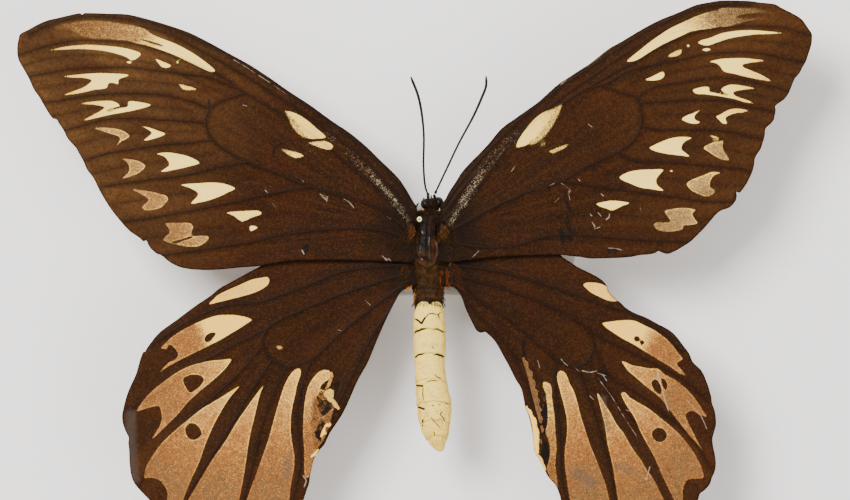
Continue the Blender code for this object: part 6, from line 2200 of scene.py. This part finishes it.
    def _top(self, spots: np.ndarray) -> tuple[np.ndarray, ...]:
        """Roots for hairs at places seen from above: on the skin where it is there, else on the wings."""
        grid, out = self.skin.spots.reshape(-1, 3), self.skin.normals.reshape(-1, 3)
        upper = np.flatnonzero(out[:, 2] > 0.05)
        tree = kd_tree(grid[upper, :2])
        split, up = on_plan(((0, WING_SPLIT_ROW),))[0, 1], np.array((0, 0, 1.0))
        on_wing = np.any([inside(spots, on_plan(edge)) for edge in self.wings], axis=0)
        roots, normals, charts = [], [], []
        for (x, y), winged in zip(spots, on_wing):
            _, index, gap = tree.find((x, y, 0))
            found = upper[index]
            root, normal = grid[found], out[found]
            wing = WING_LEVEL - (WING_LAYER_DROP if y < split else 0)
            plate = 1 - ((abs(x) - 4.9 * MM) / (1.6 * MM)) ** 2 - ((y - 6.2 * MM) / (3.0 * MM)) ** 2
            if plate > 0:
                root, normal = np.array((x, y, WING_LEVEL + (0.35 + 1.5 * math.sqrt(plate)) * MM)), up
            elif winged and (gap > 0.4 * MM or root[2] < wing):
                root, normal = np.array((x, y, wing)), up
            roots.append(root)
            normals.append(normal)
            charts.append(self.skin.chart.reshape(-1, 2)[found])
        return np.array(roots), np.array(normals), np.array(charts)

    def _grow(self, growth: Growth, seed: int) -> Shape:
        """The hairs of one growth."""
        draw = np.random.default_rng(seed)
        ring = on_plan(growth.area)
        low, high = ring.min(axis=0), ring.max(axis=0)
        spots = draw.uniform(low, high, (growth.count * 3, 2))
        spots = spots[inside(spots, ring)][:growth.count]
        roots, normals, charts = self._top(spots)
        count = len(roots)
        lies = np.tile((*growth.lie, 0.0), (count, 1))
        lengths = growth.length * draw.uniform(0.55, 1.25, count)
        tones = draw.uniform(*growth.tone, count)
        widths = growth.width * draw.uniform(0.7, 1.2, count)
        return Tufts(roots, normals, lies, lengths, widths, tones, charts, growth.lift, seed).shape()

    def _thorax_coat(self, draw: np.random.Generator) -> Shape:
        """The thorax's hairs: long and red in places on the flanks, short and thin on the back."""
        roots, normals, charts = self._skin_draw(draw, self.thorax_hairs, 12.6 * MM, -12 * MM)
        above = ease(normals[:, 2], 0.1, 0.75)
        kept = draw.uniform(size=len(roots)) > above * (0.72 - 0.4 * ease(-roots[:, 1], 0.0, 4 * MM))
        roots, normals, charts, above = roots[kept], normals[kept], charts[kept], above[kept]
        lies = np.column_stack((normals[:, 0] * 0.3, np.full(len(roots), -1.0), np.full(len(roots), -0.3)))
        lengths = (0.5 + 1.5 * (1 - above) + 0.5 * ease(roots[:, 1], 9 * MM, 12 * MM)) * MM
        lengths *= draw.uniform(0.6, 1.2, len(roots))
        tones = np.clip(draw.normal(0.06 + 0.12 * (1 - above), 0.08, len(roots)), 0, 0.4)
        reddish = (normals[:, 2] < 0.3) & (rumple(roots / MM, 4.0, 8) > 0.62)
        tones = np.where(reddish, draw.uniform(0.48, 0.68, len(roots)), tones)
        return Tufts(roots, normals, lies, lengths, 0.06 * MM, tones, charts, 0.3, 5).shape()

    def _head_coat(self, draw: np.random.Generator) -> Shape:
        """The head's dark hairs, which lie forward and stand up on the face."""
        roots, normals, charts = self._skin_draw(draw, self.head_hairs, 16.3 * MM, 12.6 * MM)
        front = ease(roots[:, 1], 15.2 * MM, 16.2 * MM)[:, None]
        lies = (1 - front) * (normals * 0.5 + (0.0, 0.6, 0.2)) + front * np.array((0.0, 0.4, 0.9))
        lengths = draw.uniform(0.45, 1.15, len(roots)) * MM
        tones = np.clip(draw.normal(0.03, 0.05, len(roots)), 0, 0.2)
        return Tufts(roots, normals, lies, lengths, 0.045 * MM, tones, charts, 0.7, 6).shape()

    def _abdomen_coat(self, draw: np.random.Generator) -> Shape:
        """The abdomen's short down, dark in front of the cream skin and pale on it."""
        roots, normals, charts = self._skin_draw(draw, self.abdomen_hairs, -12 * MM, -63 * MM)
        lies = np.tile((0.0, -1.0, 0.0), (len(roots), 1))
        lengths = draw.uniform(0.25, 0.6, len(roots)) * MM
        lengths *= 1 + 0.8 * ease(-roots[:, 1], 58 * MM, 63 * MM)
        dark = roots[:, 1] > ABDOMEN_FRONT * MM
        tones = np.where(dark, draw.uniform(0, 0.2, len(roots)), draw.uniform(0.78, 1.0, len(roots)))
        return Tufts(roots, normals, lies, lengths, 0.035 * MM, tones, charts, 0.22, 7).shape()

    def build(self, finish: bpy.types.Material) -> None:
        """Build the coat's pieces.

        Args:
            finish: The hairs' material.
        """
        draw = np.random.default_rng(77)
        coats = {"thorax": self._thorax_coat(draw), "head": self._head_coat(draw), "abdomen": self._abdomen_coat(draw)}
        coats["roots"] = Shape.joined([self._grow(growth, 100 + k) for k, growth in enumerate(self.growths)])
        for name, shape in coats.items():
            shape.build(f"coat_{name}", finish)


# Torn and folded bits at the inner margins of the hindwings

HALF_FLAP = 0.06 * MM


@dataclass(frozen=True)
class Flap:
    """A narrow flap of wing that stands up and curls over: its foot line, width, curl and look."""

    line: Places
    width: float
    curl: float = 150.0
    rise: float = 1.0
    tone: float = 0.1
    dust: float = 0.1
    # How far the flap is darkened by soot and painted shadow.
    soot: float = -3.0

    def shape(self, level: float, seed: int) -> Shape:
        """The flap as a thin closed sheet.

        Args:
            level: Height of the wing it stands on.
            seed: Picks its unevenness.

        Returns:
            The flap's shape, with the values that the wings' finish reads.
        """
        foot = spline(on_plan(self.line), 0.3 * MM)
        along = unit(np.gradient(foot, axis=0))
        across = np.column_stack((-along[:, 1], along[:, 0]))
        share = np.linspace(0, 1, len(foot))
        width = self.width * PIXEL * (0.25 + 0.75 * np.sin(math.pi * np.clip(share, 0.06, 0.94)) ** 0.6)
        width *= 1 + 0.18 * rumple(foot, 3 * MM, seed)
        bend = np.radians(np.linspace(0, self.curl, 9))
        out, up = (1 - np.cos(bend)) / 2, np.sin(bend) / 2
        plan = foot[:, None, :] + across[:, None, :] * (width[:, None] * out)[..., None]
        height = level + 0.1 * MM + width[:, None] * up * self.rise
        sheet = np.concatenate((plan, height[..., None]), axis=-1)
        normal = unit(np.cross(np.gradient(sheet, axis=0), np.gradient(sheet, axis=1)))
        rows, columns = sheet.shape[:2]
        upper, lower = ((sheet + side * normal).reshape(-1, 3) for side in (HALF_FLAP, -HALF_FLAP))
        row, column = np.meshgrid(np.arange(rows - 1), np.arange(columns - 1), indexing="ij")
        first = (row * columns + column).ravel()[:, None]
        top = first + np.array((0, columns, columns + 1, 1))
        count = rows * columns
        rim = np.concatenate((np.arange(columns - 1), np.arange(1, rows) * columns - 1,
                              count - 1 - np.arange(columns - 1), np.arange(rows - 1, 0, -1) * columns))
        after = np.roll(rim, -1)
        sides = np.column_stack((rim + count, rim, after, after + count))
        verts = np.vstack((upper, lower))
        values = dict.fromkeys(("rub", "vein"), -3.0) | dict.fromkeys(("sown", "bloom", "pleat", "front", "turn"), 0.0)
        values |= {"light": 2.0, "tone": self.tone, "dust": self.dust, "soot": self.soot, "rim": 4.0, "reach": 0.5}
        values = {key: np.full(len(verts), number) for key, number in values.items()}
        return Shape(verts, [top, top[:, ::-1] + count, sides[:, ::-1]], values)


@dataclass
class Flaps:
    """All flaps of the two hindwings."""

    # Flaps whose last number is 1.0 are dark all over: painted shadow and dark hairs in the torn and folded patches.
    left: tuple[Flap, ...] = (
        Flap(((340, 409), (336, 402), (327, 394)), 6, 120, 0.8, 0.32, 0.35),
        Flap(((316, 397), (320, 405), (327, 412)), 4, 190, 1.0, 0.9, 0.9, 1.0),
        Flap(((331, 424), (327, 423.5), (324, 426)), 4, 150, 0.8, 0.05, 0.0),
        Flap(((324, 427), (322, 431), (320, 437)), 4, 160, 0.9, 0.0, 0.0),
        Flap(((314, 432), (317, 437), (321, 443)), 3, 170, 1.0, 0.9, 0.9, 1.0),
        Flap(((318, 449), (314, 453), (310, 457)), 3.5, 120, 0.6, 0.15, 0.2),
        Flap(((331, 372), (329, 380), (325, 389)), 3.5, 140, 0.7, 0.5, 0.3),
    )
    right: tuple[Flap, ...] = (
        Flap(((525, 407), (529.5, 417), (532.5, 430), (534.3, 445), (535.5, 454)), 6.5, 160, 0.55, 0.0, 0.0),
        Flap(((535.5, 453), (540, 461), (545, 471)), 3, 140, 0.6, 0.25, 0.2),
        Flap(((522, 358), (527, 374), (531, 392), (535, 412), (538.5, 430), (540, 444)), 9.5, 110, 0.4, 0.85, 0.5),
        Flap(((543, 389), (543.5, 398), (542, 410)), 3, 170, 0.8, 0.95, 0.9, 1.0),
    )

    def build(self, finish: bpy.types.Material) -> None:
        """Build the flaps of each hindwing.

        Args:
            finish: The hindwings' material.
        """
        level = WING_LEVEL - WING_LAYER_DROP
        for name, flaps in (("left", self.left), ("right", self.right)):
            shapes = []
            for number, flap in enumerate(flaps):
                out = np.abs(on_plan(flap.line)[:, 0]).mean()
                share = max(out - FLAT_HALF_SPAN, 0) / (WINGSPAN / 2 - FLAT_HALF_SPAN)
                shapes.append(flap.shape(level + TIP_RISE * share ** TIP_CURVE - 0.25 * MM, number + 40))
            Shape.joined(shapes).build(f"hindwing_flaps_{name}", finish)

@dataclass
class Studio:
    """The pale floor, the soft lights and the camera that looks straight down."""

    camera_column: float = 425.0
    camera_height: float = 1.1
    picture_columns: float = 850.0
    floor: float = 3.0
    cells: int = 40
    sensor: float = 36.0
    air: tuple[float, float, float, float] = (1.0, 0.97, 0.95, 1.0)
    air_strength: float = 0.85
    lights: tuple[tuple[str, tuple[float, float, float], float, float], ...] = (
        ("key", (-0.55, 0.5, 1.3), 0.6, 36.0), ("fill", (0.8, -0.5, 1.2), 0.9, 8.0),
    )

    def build(self) -> None:
        """Build the floor, the lights and the camera."""
        size, cells = self.floor / 2, self.cells
        line = np.linspace(-size, size, cells + 1)
        x, y = np.meshgrid(line, line)
        verts = np.column_stack((x.ravel(), y.ravel(), np.zeros(x.size)))
        column, row = np.meshgrid(np.arange(cells), np.arange(cells))
        first = (row * (cells + 1) + column).ravel()[:, None]
        faces = first + np.array((0, 1, cells + 2, cells + 1))
        finish = PlasterFinish("floor", paint(252, 249, 247), paint(246, 243, 242), 0.4, 0.2 * MM, 0.8)
        floor = Shape(verts, [faces]).build("floor", finish.material())
        world = bpy.data.worlds.new("studio")
        world.use_nodes = True
        air = world.node_tree.nodes["Background"].inputs
        air["Color"].default_value, air["Strength"].default_value = self.air, self.air_strength
        bpy.context.scene.world = world
        for light in self.lights:
            self._light(*light)
        lens = bpy.data.cameras.new("camera")
        lens.sensor_width = self.sensor
        width = self.picture_columns * PIXEL
        lens.lens = self.sensor * self.camera_height / width
        camera = bpy.data.objects.new("camera", lens)
        camera.location = ((self.camera_column - CENTRE_COLUMN) * PIXEL, 0.0, WING_LEVEL + self.camera_height)
        bpy.context.scene.collection.objects.link(camera)
        bpy.context.scene.camera = camera

    @staticmethod
    def _light(name: str, place: tuple[float, float, float], size: float, power: float) -> None:
        """Add one soft square light that faces the butterfly."""
        lamp = bpy.data.lights.new(name, "AREA")
        lamp.shape, lamp.size, lamp.energy = "SQUARE", size, power
        light = bpy.data.objects.new(name, lamp)
        light.location = place
        light.rotation_mode = "QUATERNION"
        light.rotation_quaternion = (Vector(place) - Vector((0, 0, BODY_HEIGHT))).to_track_quat("Z", "Y")
        bpy.context.scene.collection.objects.link(light)


def main() -> None:
    """Build every piece, and log how many nodes the frame has and how many faces each piece has."""
    logging.basicConfig(level=logging.INFO, format="%(message)s")
    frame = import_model()
    log.info("frame: %d nodes", len(frame["nodes"]))
    left = WingFinish("forewing_left_scales", paint(32, 15, 2), paint(48, 22, 3), paint(98, 67, 34),
                       buff=paint(170, 128, 74), tan=paint(136, 94, 50)).material()
    right = WingFinish("forewing_right_scales", paint(31, 14, 2), paint(47, 22, 3), paint(77, 47, 19),
                        buff=paint(158, 126, 76), tan=paint(128, 98, 58)).material()
    hind = WingFinish("hindwing_scales", paint(38, 18, 3), paint(45, 21, 3), paint(60, 33, 11),
                       cream=paint(255, 201, 80), rays=0.3, russet=0.34).material()
    Wing("forewing_left", Side.LEFT, FORE_LEFT_EDGE, FORE_LEFT_ROOT, FORE_LEFT_VEINS, FORE_PLEATS, FORE_LEFT_PATCHES,
         FORE_LEFT_DARK, FORE_LEFT_SCRATCHES_AND_GLINTS, FORE_LEFT_SOWN, FORE_LEFT_SOOT, seed=1).build(left)
    Wing("forewing_right", Side.RIGHT, FORE_RIGHT_EDGE, FORE_RIGHT_ROOT, FORE_RIGHT_VEINS, FORE_PLEATS,
         FORE_RIGHT_PATCHES, FORE_RIGHT_DARK, FORE_RIGHT_SCRATCHES_AND_GLINTS, FORE_RIGHT_SOWN, FORE_RIGHT_SOOT,
         seed=2).build(right)
    Wing("hindwing_left", Side.LEFT, HIND_LEFT_EDGE, HIND_LEFT_ROOT, HIND_LEFT_VEINS, HIND_PLEATS, HIND_LEFT_PATCHES,
         HIND_LEFT_DARK, HIND_LEFT_SCRATCHES, (), HIND_LEFT_SOOT_AND_SHADOW, HIND_LEFT_BLOOM_AND_SHEEN, WING_LAYER_DROP, seed=3).build(hind)
    Wing("hindwing_right", Side.RIGHT, HIND_RIGHT_EDGE, HIND_RIGHT_ROOT, HIND_RIGHT_VEINS, HIND_PLEATS,
         HIND_RIGHT_PATCHES, HIND_RIGHT_DARK, HIND_RIGHT_SCRATCHES_AND_GLINTS, (), HIND_RIGHT_SOOT_AND_SHADOW, HIND_RIGHT_BLOOM,
         WING_LAYER_DROP, seed=4).build(hind)
    Flaps().build(hind)
    skin = Skin()
    skin_finish = SkinFinish().material()
    skin.build(skin_finish)
    Coat(skin).build(HairFinish().material())
    Tegulae().build(skin_finish)
    Eyes().build(EyeFinish().material())
    horn = HornFinish("limb_horn", paint(9, 6, 5), paint(30, 20, 14)).material()
    tongue = HornFinish("tongue_horn", paint(62, 32, 13), paint(20, 11, 6)).material()
    Limbs().build(horn, tongue)
    stand = Stand()
    stand.build_pin(PinFinish().material())
    base = PlasterFinish("base_paint", paint(226, 222, 212), paint(206, 201, 190), 0.02, 0.05 * MM)
    stand.build_base(base.material())
    Studio().build()


if __name__ == "__main__":
    main()
